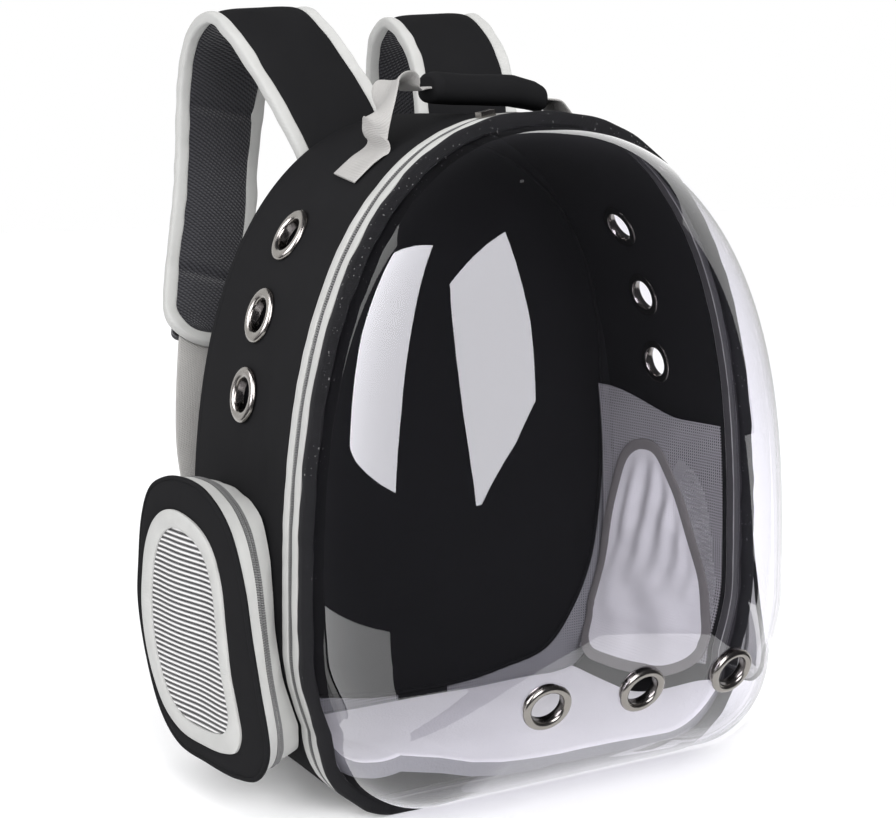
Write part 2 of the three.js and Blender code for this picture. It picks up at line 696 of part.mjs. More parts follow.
function buildPockets() {
  const boxes = POCKET_BOXES;
  const front = GAP / 2;
  const meshFrom = front + POCKET_FACE / 2;
  const tab = new THREE.BoxGeometry(TAB_THICKNESS, TAB_LENGTH, TAB_HEIGHT);
  const tabY = RIM_Y + boxes.face.front + boxes.face.depth + TAB_LENGTH / 2 + GAP;
  tab.translate(faceX(tabY) - TAB_THICKNESS, tabY, boxes.face.bottom + boxes.face.height / 2);
  const pieces = [
    ['pocket_band_inner', pocketBand(0, BAND_INNER_SHARE), GREY_TAPE],
    ['pocket_zip', pocketBand(BAND_INNER_SHARE, BAND_ZIP_SHARE), DARK_COIL],
    ['pocket_band_outer', pocketBand(BAND_ZIP_SHARE, 1), GREY_TAPE],
    ['pocket_face', faceRing(boxes.face, grown(boxes.trim, GAP), front, front + POCKET_FACE), BLACK_CLOTH],
    ['pocket_trim', faceRing(boxes.trim, boxes.window, front, front + POCKET_FACE + POCKET_TRIM), GREY_TAPE],
    ['pocket_mesh', faceSheet(grown(boxes.window, -GAP), meshFrom, meshFrom + MESH_THICKNESS), GREY_TAPE],
    ['pocket_tab', fromSolid(toSolid(tab)), BLACK_BINDING],
  ];
  for (const side of ['left', 'right']) {
    for (const [name, geometry, color] of pieces) {
      addPiece(`${name}_${side}`, sideOf[side](geometry), cloth(color));
    }
  }
}

function pocketOpening() {
  const loop = pocketLoop(POCKET_BOXES.opening);
  const at = (x) => loop.map(({ y, z }) => new THREE.Vector3(x, y, z));
  return loft([at(HALF_WIDTH - CORNER_RADIUS), at(HALF_WIDTH + CORNER_RADIUS)]);
}

function sideEyeletFrames() {
  return [0, 1, 2].map((i) => {
    const frame = wallAt(SIDE_EYELET_TOP - i * SIDE_EYELET_STEP);
    frame.point.y = RIM_Y + SIDE_EYELET_LINE;
    return frame;
  });
}

function buildShell() {
  const frames = sideEyeletFrames();
  const rightCutters = [pocketOpening(), ...frames.map((frame) => eyeletHole(frame, WALL_EYELET))];
  const cutters = [...rightCutters, ...rightCutters.map((c) => mirrored(mergeVertices(c)))];
  const tube = flatBand(WALL_FRONT_Y, PANEL_FRONT_Y - GAP, WALL);
  addPiece('shell_wall', cut(tube, cutters), cloth(BLACK_CLOTH));
  for (const side of ['left', 'right']) {
    frames.forEach((frame, i) => {
      const spool = eyelet(frame, WALL_EYELET, WALL);
      addPiece(`side_eyelet_${side}_${i + 1}`, sideOf[side](spool), nickel());
    });
  }
  const panel = loft([outlineRing(0, PANEL_FRONT_Y), outlineRing(0, BACK_Y)]);
  addPiece('back_panel', panel, cloth(BLACK_CLOTH));
}

// Mat: a strip of the outline, from one round corner across the base to the other
function buildMat() {
  const low = WALL + GAP;
  const high = low + MAT_THICKNESS;
  const front = RIM_Y + MAT_FRONT;
  const back = PANEL_FRONT_Y - GAP;
  const curl = wallAt(MAT_CURL);
  const tip = { x: curl.point.x, z: MAT_CURL, nx: curl.normal.x, nz: curl.normal.z };
  const right = [...RIGHT_HALF.filter((p) => p.z < MAT_CURL - 1), tip];
  const left = right.slice(1).reverse().map((p) => ({ ...p, x: -p.x, nx: -p.nx }));
  const place = (p, inset, y) => new THREE.Vector3(p.x - p.nx * inset, y, p.z - p.nz * inset);
  const rings = [...left, ...right].map((p) => [
    place(p, low, front), place(p, low, back), place(p, high, back), place(p, high, front),
  ]);
  addPiece('floor_mat', loft(rings), cloth(MAT_WHITE));
}

// Net lining: it starts at the wall and leans into the cabin towards the back. Its upper edge
// is lower at the front.
function buildNets() {
  const near = WALL + GAP;
  const far = near + NET_LEAN;
  const front = RIM_Y + NET_FRONT;
  const back = RIM_Y + NET_BACK;
  const bottom = MAT_CURL + MAT_THICKNESS;
  const rows = 10;
  const rings = Array.from({ length: rows + 1 }, (_, i) => {
    const place = (inset, y, top) => {
      const { point, normal } = wallAt(bottom + ((top - bottom) * i) / rows);
      return point.addScaledVector(normal, -inset).setY(y);
    };
    const low = NET_TOP - NET_DROP;
    return [
      place(near, front, low), place(far, back, NET_TOP),
      place(far + NET_THICKNESS, back, NET_TOP), place(near + NET_THICKNESS, front, low),
    ];
  });
  for (const side of ['left', 'right']) {
    addPiece(`inner_net_${side}`, sideOf[side](loft(rings)), cloth(GREY_TAPE));
  }
}

const STRAP_TOP = SHELL_HEIGHT + STRAP_RISE;

function strapCurve() {
  const near = BACK_Y + GAP + STRAP_THICKNESS / 2 + STRAP_THICKNESS * 0.05;
  return new THREE.CatmullRomCurve3(STRAP_PATH.map(({ out, back, up }) => new THREE.Vector3(
    out * STRAP_SPREAD, near + back * STRAP_REACH, up * STRAP_TOP)), false, 'centripetal');
}

const STRAP_CURVE = strapCurve();
const STRAP_LENGTH = STRAP_CURVE.getLength();

// Local axes of the right strap at a length along it: across, along and out of its outer face
function strapFrame(length, lean) {
  const share = Math.min(Math.max(length / STRAP_LENGTH, 0), 1);
  const origin = STRAP_CURVE.getPointAt(share);
  const along = STRAP_CURVE.getTangentAt(share);
  const across = new THREE.Vector3(1, 0, 0);
  across.addScaledVector(along, -across.dot(along)).normalize();
  const angle = THREE.MathUtils.degToRad(lean) * Math.sin(Math.PI * share);
  across.applyAxisAngle(along, -angle);
  const out = across.clone().cross(along);
  return { origin, along, across, out };
}

function strapPoint(length, side, height, lean) {
  const { origin, across, out } = strapFrame(length, lean);
  return origin.addScaledVector(across, side).addScaledVector(out, height);
}

function strapHalfWidth(length) {
  const place = (length / STRAP_LENGTH) * (STRAP_PATH.length - 1);
  const k = Math.min(Math.floor(place), STRAP_PATH.length - 2);
  const share = place - k;
  const width = STRAP_PATH[k].width * (1 - share) + STRAP_PATH[k + 1].width * share;
  return (width * STRAP_WIDTH) / 2;
}

// Stations round the strap's free outline, inset from its edge: length and side place
function strapOutline(inset) {
  const straight = STRAP_LENGTH - STRAP_END_ROUND;
  const stations = [];
  for (let i = 0; i <= STRAP_STEPS; i += 1) {
    const length = (straight * i) / STRAP_STEPS;
    stations.push({ length, side: strapHalfWidth(length) - inset });
  }
  const turns = 8;
  const half = strapHalfWidth(straight) - inset;
  for (let i = 1; i < turns; i += 1) {
    const angle = (Math.PI * i) / turns;
    stations.push({
      length: straight + (STRAP_END_ROUND - inset) * Math.sin(angle),
      side: half * Math.cos(angle),
    });
  }
  for (let i = STRAP_STEPS; i >= 0; i -= 1) {
    stations.push({ length: stations[i].length, side: -stations[i].side });
  }
  return stations;
}

function strapPad(lean) {
  const inset = STRAP_BINDING + GAP;
  const stations = strapOutline(inset).filter((s) => s.side > 1);
  const thick = STRAP_THICKNESS / 2;
  const section = [
    [-1, -0.6], [-0.85, -1], [0.85, -1], [1, -0.6], [1, 0.6], [0.85, 1], [-0.85, 1], [-1, 0.6],
  ];
  return loft(stations.map(({ length, side }) => section.map(
    ([across, out]) => strapPoint(length, across * side, out * thick, lean))));
}

function strapBinding(lean) {
  const outer = strapOutline(0);
  const inner = strapOutline(STRAP_BINDING);
  const thick = STRAP_THICKNESS / 2;
  const rim = thick * 0.7;
  return loft(outer.map((o, i) => {
    const n = inner[i];
    return [
      strapPoint(o.length, o.side, rim, lean),
      strapPoint(o.length, o.side, -rim, lean),
      strapPoint(n.length, n.side, -thick, lean),
      strapPoint(n.length, n.side, thick, lean),
    ];
  }));
}

// Buckle: a frame with a middle bar, on the strap's outer face at its lower end
const BUCKLE_HEIGHT = 3 * BUCKLE_BAR + 2 * BUCKLE_SLOT;
const BUCKLE_PLACE = STRAP_LENGTH - BUCKLE_HEIGHT / 2 - BUCKLE_BAR;
const WEBBING_SEAT = STRAP_THICKNESS / 2 + GAP + WEBBING_THICKNESS / 2 + 0.4;
const BUCKLE_SEAT = WEBBING_SEAT + WEBBING_THICKNESS / 2 + GAP;

function buckle(lean) {
  const wide = WEBBING_WIDTH / 2 + BUCKLE_MARGIN;
  const tall = BUCKLE_HEIGHT / 2;
  const corner = BUCKLE_BAR * 0.75;
  const shape = new THREE.Shape();
  shape.moveTo(-wide + corner, -tall);
  shape.lineTo(wide - corner, -tall);
  shape.quadraticCurveTo(wide, -tall, wide, -tall + corner);
  shape.lineTo(wide, tall - corner);
  shape.quadraticCurveTo(wide, tall, wide - corner, tall);
  shape.lineTo(-wide + corner, tall);
  shape.quadraticCurveTo(-wide, tall, -wide, tall - corner);
  shape.lineTo(-wide, -tall + corner);
  shape.quadraticCurveTo(-wide, -tall, -wide + corner, -tall);
  const slotWide = WEBBING_WIDTH / 2 + 1;
  for (const low of [-BUCKLE_BAR / 2 - BUCKLE_SLOT, BUCKLE_BAR / 2]) {
    const slot = new THREE.Path();
    slot.moveTo(-slotWide, low);
    slot.lineTo(-slotWide, low + BUCKLE_SLOT);
    slot.lineTo(slotWide, low + BUCKLE_SLOT);
    slot.lineTo(slotWide, low);
    slot.closePath();
    shape.holes.push(slot);
  }
  const body = new THREE.ExtrudeGeometry(shape, {
    depth: BUCKLE_THICKNESS, bevelEnabled: false, curveSegments: 3,
  });
  const { origin, along, across, out } = strapFrame(BUCKLE_PLACE, lean);
  origin.addScaledVector(out, BUCKLE_SEAT);
  body.applyMatrix4(new THREE.Matrix4().makeBasis(across, along, out).setPosition(origin));
  return fromSolid(toSolid(body));
}

// A ribbon through sections, each with a middle, a half width across and its thickness way.
// Its two faces split along the same diagonal, so that they stay apart where it twists.
function ribbon(sections, thickness) {
  return loft(sections.map(({ middle, across, out }) => {
    const corner = (side, height) => middle.clone()
      .addScaledVector(across, side).addScaledVector(out, (height * thickness) / 2);
    return [corner(-1, 1), corner(1, 1), corner(1, -1), corner(-1, -1)];
  }), { crossed: [2] });
}

// Webbing: sewn on the strap's outer face, laced through the buckle, down to the base corner
function strapWebbing(lean) {
  const { origin, along, across, out } = strapFrame(BUCKLE_PLACE, lean);
  const pitch = BUCKLE_BAR + BUCKLE_SLOT;
  const over = BUCKLE_SEAT + BUCKLE_THICKNESS + GAP + WEBBING_THICKNESS / 2;
  const lacing = [
    { along: -2.0 * pitch, out: WEBBING_SEAT },
    { along: 1 - pitch + BUCKLE_BAR / 2, out: WEBBING_SEAT },
    { along: -BUCKLE_BAR * 0.65, out: over },
    { along: BUCKLE_BAR * 0.65, out: over },
    { along: pitch - BUCKLE_BAR / 2 - 1, out: WEBBING_SEAT },
    { along: 1.7 * pitch, out: WEBBING_SEAT },
  ];
  const points = lacing.map((row) => origin.clone()
    .addScaledVector(along, row.along).addScaledVector(out, row.out));
  const last = points[points.length - 1];
  const seated = BACK_Y + GAP + WEBBING_THICKNESS / 2;
  const rise = last.z - ANCHOR_HEIGHT;
  for (const row of HANG_ROWS) {
    points.push(new THREE.Vector3(
      ANCHOR_SIDE * row.out, seated + (last.y - seated) * row.back, last.z - rise * row.down));
  }
  const wide = WEBBING_WIDTH / 2;
  const sideways = new THREE.Vector3(1, 0, 0);
  const sections = points.map((middle, i) => {
    const before = points[Math.max(i - 1, 0)];
    const after = points[Math.min(i + 1, points.length - 1)];
    const run = after.clone().sub(before).normalize();
    const share = Math.min(Math.max((i - lacing.length) / 2, 0), 1);
    const wing = across.clone().lerp(sideways, share);
    wing.addScaledVector(run, -wing.dot(run)).normalize();
    return { middle, across: wing.clone().multiplyScalar(wide), out: wing.clone().cross(run) };
  });
  return ribbon(sections, WEBBING_THICKNESS);
}

function buildStraps() {
  const plastic = new THREE.MeshStandardMaterial({ color: BLACK_BINDING, roughness: 0.5 });
  for (const side of ['left', 'right']) {
    const lean = STRAP_LEAN[side];
    const pieces = {
      strap_pad: [strapPad(lean), cloth(BLACK_CLOTH)],
      strap_binding: [strapBinding(lean), cloth(GREY_TAPE)],
      strap_webbing: [strapWebbing(lean), cloth(GREY_TAPE)],
      strap_buckle: [buckle(lean), plastic],
    };
    for (const [name, [geometry, material]] of Object.entries(pieces)) {
      addPiece(`${name}_${side}`, sideOf[side](geometry), material);
    }
  }
}

// Handle webbing rows become pairs of edge points that follow the arch and lift off it.
// side is -1 on the left and 1 on the right.
function handleEdges(rows, side) {
  const seat = HANDLE_SEAT + HANDLE_WEBBING_THICKNESS / 2;
  const edge = (row, lift, across, slant) => {
    const { point, normal } = archAt((row.along + slant) * HANDLE_SPREAD);
    point.addScaledVector(normal, seat + lift * SLEEVE_LIFT);
    return new THREE.Vector3(
      side * point.x, RIM_Y + HANDLE_LINE + across * HANDLE_WEBBING, point.z);
  };
  return rows.map((row) => [
    edge(row, row.rearLift, row.rear, -row.slant / 2),
    edge(row, row.frontLift, row.front, row.slant / 2),
  ]);
}

function sleeveMiddle(section, reach) {
  return new THREE.Vector3(
    SLEEVE_OFFSET + (section.along * reach * SLEEVE_LENGTH) / 2,
    RIM_Y + HANDLE_LINE,
    SHELL_HEIGHT + SLEEVE_LIFT + section.up * SLEEVE_HEIGHT);
}

// The webbing is folded narrow where it runs through the sleeve
function coreEdges(width) {
  return SLEEVE_SECTIONS.map((section) => [1, -1].map((way) => {
    const point = sleeveMiddle(section, CORE_REACH);
    return point.setY(point.y + (way * width) / 2);
  }));
}

function edgeRibbon(edges, thickness) {
  const middles = edges.map(([a, b]) => a.clone().add(b).multiplyScalar(0.5));
  return ribbon(middles.map((middle, i) => {
    const run = middles[Math.min(i + 1, middles.length - 1)].clone()
      .sub(middles[Math.max(i - 1, 0)]).normalize();
    const across = edges[i][0].clone().sub(middle);
    const out = across.clone().cross(run).normalize();
    return { middle, across, out };
  }), thickness);
}

function buildHandle() {
  const corners = 12;
  const rings = SLEEVE_SECTIONS.map((section) => Array.from({ length: corners }, (_, i) => {
    const angle = (2 * Math.PI * i) / corners;
    const soften = (v) => Math.sign(v) * Math.abs(v) ** 0.8;
    const point = sleeveMiddle(section, 1);
    point.y += (soften(Math.cos(angle)) * section.deep * SLEEVE_DEPTH) / 2;
    point.z += (soften(Math.sin(angle)) * section.thick * SLEEVE_HEIGHT) / 2;
    return point;
  }));
  const slot = edgeRibbon(coreEdges(CORE_WIDTH + 2 * GAP), HANDLE_WEBBING_THICKNESS + 2 * GAP);
  addPiece('handle_sleeve', cut(loft(rings), [slot]), cloth(BLACK_CLOTH));
  const edges = [
    ...handleEdges(LEFT_RIBBON, -1),
    ...coreEdges(CORE_WIDTH),
    ...handleEdges(RIGHT_RIBBON, 1).reverse(),
  ];
  addPiece('handle_webbing', edgeRibbon(edges, HANDLE_WEBBING_THICKNESS), cloth(GREY_TAPE));
}

buildShell();
buildRim();
buildSlider();
buildDome();
buildMat();
buildNets();
buildPockets();
buildStraps();
buildHandle();

export default group;
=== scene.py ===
# %% [markdown]
# # A pet carrier backpack with a clear dome
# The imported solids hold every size, so they are loaded first as a fixed frame. Everything soft is
# then made again over them as real cloth, and the plain solids step aside.

# %% Load the frame
import bpy
import numpy as np
from mathutils import Matrix


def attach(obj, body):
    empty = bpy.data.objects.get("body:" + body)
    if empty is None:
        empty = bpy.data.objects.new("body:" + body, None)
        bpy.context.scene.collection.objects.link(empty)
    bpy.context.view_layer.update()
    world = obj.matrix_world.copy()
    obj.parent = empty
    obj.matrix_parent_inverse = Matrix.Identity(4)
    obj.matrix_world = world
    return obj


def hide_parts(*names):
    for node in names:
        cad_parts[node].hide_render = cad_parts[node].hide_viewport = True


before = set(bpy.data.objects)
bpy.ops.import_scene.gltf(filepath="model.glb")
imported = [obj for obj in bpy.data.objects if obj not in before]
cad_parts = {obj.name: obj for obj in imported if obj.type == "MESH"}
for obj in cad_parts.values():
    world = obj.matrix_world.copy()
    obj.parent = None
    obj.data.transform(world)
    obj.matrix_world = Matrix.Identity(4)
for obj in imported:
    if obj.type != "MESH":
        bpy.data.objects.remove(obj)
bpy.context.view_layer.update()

print("frame", len(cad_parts), "nodes")

# %% [markdown]
# ## Camera, floor and light
# The photograph is taken from the front left, a little above the middle. A long lens keeps the
# sides nearly parallel. The camera comes first because every later choice is judged through it.

# %% Camera
MM = 0.001


def look(azimuth, elevation):
    """Axes of a camera that looks at the object: right, up and the way back towards the camera."""
    a, e = np.radians(azimuth), np.radians(elevation)
    back = np.array([np.sin(a) * np.cos(e), -np.cos(a) * np.cos(e), np.sin(e)])
    right = np.array([np.cos(a), np.sin(a), 0.0])
    return right, np.cross(back, right), back


def stand(thing, place, right, up, back):
    """Places a camera or lamp at a point with the given axes as its columns."""
    matrix = np.eye(4)
    matrix[:3, :3] = np.stack([right, up, back], axis=1)
    matrix[:3, 3] = place
    thing.matrix_world = Matrix(matrix.tolist())


lens = bpy.data.cameras.new("camera")
lens.lens = 70.9
lens.shift_x = -0.0487
lens.shift_y = -0.0126
lens.clip_end = 50
camera = bpy.data.objects.new("camera", lens)
bpy.context.collection.objects.link(camera)
bpy.context.scene.camera = camera
stand(camera, (-0.5811, -0.9849, 0.4104), *look(-31.06, 8.69))
print("camera", [round(v, 3) for v in camera.location])

# %% [markdown]
# Soft light comes from a white room: the world is bright and even. Broad lamps add the shading of
# the cloth, and the one in front lights the mat and the window through the dome.

# %% Light
ROOM_LIGHT = 1.0

bpy.context.scene.view_settings.view_transform = "Standard"
world = bpy.data.worlds.new("room")
bpy.context.scene.world = world
world.use_nodes = True
world.node_tree.nodes["Background"].inputs["Color"].default_value = (1, 1, 1, 1)
world.node_tree.nodes["Background"].inputs["Strength"].default_value = ROOM_LIGHT


def lamp(name, place, aim, size, power):
    """A soft rectangular lamp at a place, facing a point."""
    data = bpy.data.lights.new(name, "AREA")
    data.shape = "RECTANGLE"
    data.size, data.size_y = size
    data.energy = power
    thing = bpy.data.objects.new(name, data)
    bpy.context.collection.objects.link(thing)
    back = np.array(place, float) - np.array(aim, float)
    back /= np.linalg.norm(back)
    right = np.cross((0.0, 0.0, 1.0), back)
    right /= np.linalg.norm(right)
    stand(thing, place, right, np.cross(back, right), back)
    thing.visible_glossy = False


lamp("key", (-2.2, -1.2, 1.7), (0, 0, 0.25), (1.2, 1.6), 15)
lamp("front", (-0.3, -2.3, 1.3), (0.08, 0, 0.12), (1.4, 1.2), 46)
lamp("top", (0.0, 0.3, 2.4), (0, 0, 0.2), (1.6, 1.6), 10)
print("lamps", len(bpy.data.lights))

# %% [markdown]
# ## Shader maths
# A small class wraps a socket, so that a pattern can be written as an ordinary sum. A finish keeps
# the nodes of one material and has one method that adds any node.

# %% Wires and finishes


class Wire:
    """The value of one socket. Each operator adds the Math node that works it out."""

    def __init__(self, finish, socket):
        self.finish, self.socket = finish, socket

    def maths(self, operation, *values):
        return self.finish.node("ShaderNodeMath", {"operation": operation}, values)

    def __add__(self, other): return self.maths("ADD", self, other)
    def __radd__(self, other): return self.maths("ADD", other, self)
    def __sub__(self, other): return self.maths("SUBTRACT", self, other)
    def __rsub__(self, other): return self.maths("SUBTRACT", other, self)
    def __mul__(self, other): return self.maths("MULTIPLY", self, other)
    def __rmul__(self, other): return self.maths("MULTIPLY", other, self)
    def __mod__(self, other): return self.maths("FLOORED_MODULO", self, other)
    def __gt__(self, other): return self.maths("GREATER_THAN", self, other)
    def __lt__(self, other): return self.maths("LESS_THAN", self, other)
    def __abs__(self): return self.maths("ABSOLUTE", self)
    def sine(self): return self.maths("SINE", self)
    def least(self, other): return self.maths("MINIMUM", self, other)
    def most(self, other): return self.maths("MAXIMUM", self, other)


class Finish:
    """One material: its main shader, and the nodes that feed it."""

    def __init__(self, name, color, roughness, **uniform):
        self.material = bpy.data.materials.new(name)
        self.material.use_nodes = True
        self.tree = self.material.node_tree
        self.shader = self.tree.nodes["Principled BSDF"]
        self.color = (*color, 1.0)
        self.set("Base Color", self.color)
        self.set("Roughness", roughness)
        for socket, value in uniform.items():
            self.set(socket.replace("_", " "), value)

    def feed(self, socket, value):
        if isinstance(value, Wire):
            self.tree.links.new(value.socket, socket)
        else:
            socket.default_value = value

    def set(self, socket, value):
        self.feed(self.shader.inputs[socket], value)

    def node(self, kind, settings=None, values=(), out=0):
        made = self.tree.nodes.new(kind)
        for key, value in (settings or {}).items():
            setattr(made, key, value)
        for key, value in values.items() if isinstance(values, dict) else enumerate(values):
            self.feed(made.inputs[key], value)
        return Wire(self, made.outputs[out])

    def cloth(self):
        """Places on the cloth in millimetres, from the piece's own UV map."""
        uv = self.node("ShaderNodeUVMap", {"uv_map": "cloth"})
        split = self.node("ShaderNodeSeparateXYZ", values=[uv])
        return split, Wire(self, split.socket.node.outputs[1])

    def noise(self, size, detail=3.0):
        """Soft noise with features of a size in millimetres, from 0 to 1."""
        place = self.node("ShaderNodeTexCoord", out="Object")
        return self.node("ShaderNodeTexNoise", values={
            "Vector": place, "Scale": 1000.0 / size, "Detail": detail})

    def blend(self, share, first, second):
        return self.node("ShaderNodeMix", {"data_type": "RGBA"},
                         {0: share, 6: (*first, 1.0), 7: (*second, 1.0)}, out=2)

    def bump(self, height, strength=1.0):
        """Relief from a height in millimetres."""
        self.set("Normal", self.node("ShaderNodeBump", values={
            "Strength": strength, "Distance": MM, "Height": height}))


def wave(place, pitch):
    """A sine ripple along a place, one crest for each pitch."""
    return (place * (2 * np.pi / pitch)).sine()


# %% [markdown]
# ## Cloth finishes
# Woven polyester shows a fine grid of threads that shades the light more than it colours it. Each
# cloth here gets a weave for relief and a slow noise for the unevenness of real fabric.

# %% Woven cloths


def shades(color, low, high):
    return tuple(low * c for c in color), tuple(high * c for c in color)


def woven(name, color, pitch, relief, roughness=0.85, spread=0.12):
    """Plain weave: crests where the thread goes over, in a chequer of the given pitch."""
    finish = Finish(name, color, roughness, Specular_IOR_Level=0.05)
    u, v = finish.cloth()
    weave = wave(u, pitch) * wave(v, pitch)
    cloud = finish.noise(38)
    dark, light = shades(color, 1 - spread, 1 + spread)
    finish.set("Base Color", finish.blend(weave * 0.22 + cloud * 1.2 - 0.1, dark, light))
    finish.bump(weave * relief + cloud * 0.5, 0.8)
    return finish.material


def ribbed(name, color, pitch, relief, roughness=0.8, painted_glints=0.0):
    """Tape and webbing: close ribs across it, and a slower twill along it. Painted glints are
    pale flecks scattered here and there: painted highlights, light caught along the edge."""
    finish = Finish(name, color, roughness, Sheen_Weight=0.02, Specular_IOR_Level=0.15)
    u, v = finish.cloth()
    ribs = wave(u + v * 0.5, pitch)
    threads = wave(v, pitch * 0.7)
    cloud = finish.noise(16)
    dark, light = shades(color, 0.86, 1.08)
    shade = ribs * 0.2 + threads * 0.12 + cloud * 0.9
    # Pale flecks where two noises pass a threshold: painted highlights.
    if painted_glints:
        shade = shade * 0.02 + (finish.noise(1.7, 1) > 0.72) * (finish.noise(26, 1) > 0.5)
        light = (painted_glints, painted_glints, painted_glints)
    finish.set("Base Color", finish.blend(shade, dark, light))
    finish.bump(ribs * relief + threads * relief * 0.5 + cloud * 0.25, 0.8)
    return finish.material


black_cloth = woven("black cloth", (0.0095, 0.0095, 0.0102), 0.9, 0.05)
lining_cloth = woven("black lining", (0.006, 0.006, 0.0065), 1.1, 0.03)
# The binding's pale flecks are painted highlights, glints of light painted into its colour.
binding_cloth = ribbed("black binding", (0.007, 0.007, 0.008), 1.1, 0.06, painted_glints=0.16)
# A darker copy of the grey tape for the zip tapes' inner faces: painted shade.
painted_shade_tape = ribbed("tape in painted shade", (0.07, 0.068, 0.07), 1.0, 0.05)
seam_tape = ribbed("window tape", (0.20, 0.19, 0.185), 1.0, 0.05)
grey_tape = ribbed("light grey tape", (0.46, 0.46, 0.45), 1.0, 0.06)
grey_webbing = ribbed("light grey webbing", (0.40, 0.39, 0.38), 1.6, 0.12)
print("cloths", len(bpy.data.materials))

# %% [markdown]
# The strap's inner face is spacer mesh: rows of small holes that run on the slant. The lining and
# the pocket window are open nets, so their holes are really see-through.

# %% Meshes and nets


def air_mesh(name):
    """Slanting rows of round dimples, dark inside."""
    finish = Finish(name, (0.016, 0.016, 0.018), 0.9, Sheen_Weight=0.2, Specular_IOR_Level=0.2)
    u, v = finish.cloth()
    rows = wave(u + v * 0.55, 3.0)
    holes = rows * wave(v - u * 0.4, 3.0)
    finish.set("Base Color", finish.blend(rows * 0.5 + 0.5, (0.006, 0.006, 0.008),
                                          (0.034, 0.034, 0.040)))
    finish.bump(rows * 0.25 + holes * 0.2, 1.0)
    return finish.material


def net(name, color, pitch, thread, tint=1.0):
    """Square net: a thread wherever either place is near a multiple of the pitch."""
    finish = Finish(name, color, 0.7, Specular_IOR_Level=0.3)
    u, v = finish.cloth()
    across = abs((u % pitch) - pitch / 2)
    along = abs((v % pitch) - pitch / 2)
    edge = pitch / 2 - thread / 2
    solid = (across > edge).most(along > edge)
    finish.set("Alpha", solid * tint)
    finish.set("Base Color", finish.blend(finish.noise(22), shades(color, 0.8, 1)[0], color))
    return finish.material


def louvre(name, color, pitch):
    """Pocket mesh: stout ribs across, with a half open row of holes between them."""
    finish = Finish(name, color, 0.6, Specular_IOR_Level=0.35)
    u, v = finish.cloth()
    rib = wave(v, pitch)
    fine = wave(u, 1.5)
    open_row = (rib < -0.15) * (fine < 0.35)
    finish.set("Alpha", 1 - open_row * 0.92)
    finish.set("Base Color", finish.blend(rib * 0.7 + 0.42, (0.07, 0.07, 0.07), color))
    finish.bump(rib * 0.5 + fine * 0.1, 1.0)
    return finish.material


strap_mesh = air_mesh("black spacer mesh")
pale_net = net("pale net", (0.42, 0.41, 0.42), 2.0, 0.75)
corner_net = net("corner net", (0.26, 0.26, 0.27), 2.0, 0.95)
window_weave = net("white window mesh", (0.90, 0.89, 0.90), 1.9, 1.3)
pocket_weave = louvre("pocket mesh", (0.74, 0.73, 0.73), 3.2)
print("with nets", len(bpy.data.materials))

# %% [markdown]
# The mat has a short dense pile, the zip coil and the buckle are hard, and the eyelets are plated.
# The dome is clear sheet: at each point it mirrors a little, more towards its edges.

# %% Hard and clear finishes


def pile(name, color):
    finish = Finish(name, color, 0.95, Sheen_Weight=0.3, Sheen_Roughness=0.6)
    fibre = finish.noise(1.6, 4)
    cloud = finish.noise(30)
    finish.set("Base Color", finish.blend(fibre * 0.5 + cloud * 0.5, shades(color, 0.9, 1)[0],
                                          shades(color, 1, 1.04)[1]))
    finish.bump(fibre * 0.7 + cloud * 1.2, 0.6)
    return finish.material


def plated(name, color, roughness):
    """Warm nickel plate with fine handling marks."""
    finish = Finish(name, color, roughness, Metallic=1.0)
    finish.set("Roughness", finish.noise(9, 5) * 0.18 + roughness - 0.06)
    finish.bump(finish.noise(3) * 0.02, 0.4)
    return finish.material


def moulded(name, color, roughness):
    finish = Finish(name, color, roughness, Specular_IOR_Level=0.45)
    finish.set("Roughness", finish.noise(6) * 0.15 + roughness)
    finish.bump(finish.noise(0.8) * 0.03, 0.5)
    return finish.material


def clear(name, tint):
    """Clear sheet as a tinted see-through face with a thin mirror on it. The share that it mirrors
    follows Fresnel's law for both faces together, and is counted once, where light goes in."""
    finish = Finish(name, tint, 0.02)
    mirror = finish.node("ShaderNodeFresnel", values={"IOR": 1.5})
    leaving = finish.node("ShaderNodeNewGeometry", out="Backfacing")
    ripple = finish.node("ShaderNodeBump", values={
        "Strength": 0.25, "Distance": MM, "Height": finish.noise(90, 1) * 0.5})
    sheet = finish.node("ShaderNodeBsdfTransparent", values={"Color": (*tint, 1.0)})
    shine = finish.node("ShaderNodeBsdfGlossy", values={
        "Color": (1.0, 1.0, 1.0, 1.0), "Roughness": 0.015, "Normal": ripple})
    share = (mirror * 1.8).least(1.0) * (1 - leaving)
    both = finish.node("ShaderNodeMixShader", values=[share, sheet, shine])
    finish.tree.nodes.remove(finish.shader)
    finish.feed(finish.tree.nodes["Material Output"].inputs["Surface"], both)
    return finish.material


mat_pile = pile("white pile", (0.80, 0.79, 0.81))
# A darker copy of the white pile for the mat's front edge and underside: painted shade.
mat_shaded_side = pile("pile in painted shade", (0.17, 0.17, 0.18))
nickel = plated("nickel plate", (0.26, 0.245, 0.225), 0.2)
coil_plastic = moulded("zip coil", (0.13, 0.13, 0.13), 0.45)
black_plastic = moulded("black plastic", (0.014, 0.014, 0.015), 0.4)
clear_sheet = clear("clear sheet", (0.965, 0.96, 0.985))
print("finishes", len(bpy.data.materials))

# %% [markdown]
# ## Surfaces from arrays
# A piece is a grid of points: rows one way and columns the other. The same few functions turn any
# grid into a closed mesh with a map of its cloth in millimetres.

# %% Lines


def evenly(line, count, closed=False):
    """Points at equal steps along a line: its length is added up, then looked up in reverse."""
    line = np.vstack([line, line[:1]]) if closed else np.asarray(line, float)
    travel = np.concatenate([[0], np.cumsum(np.linalg.norm(np.diff(line[:, :3], axis=0), axis=1))])
    goals = np.linspace(0, travel[-1], count, endpoint=not closed)
    return np.stack([np.interp(goals, travel, column) for column in line.T], axis=1)


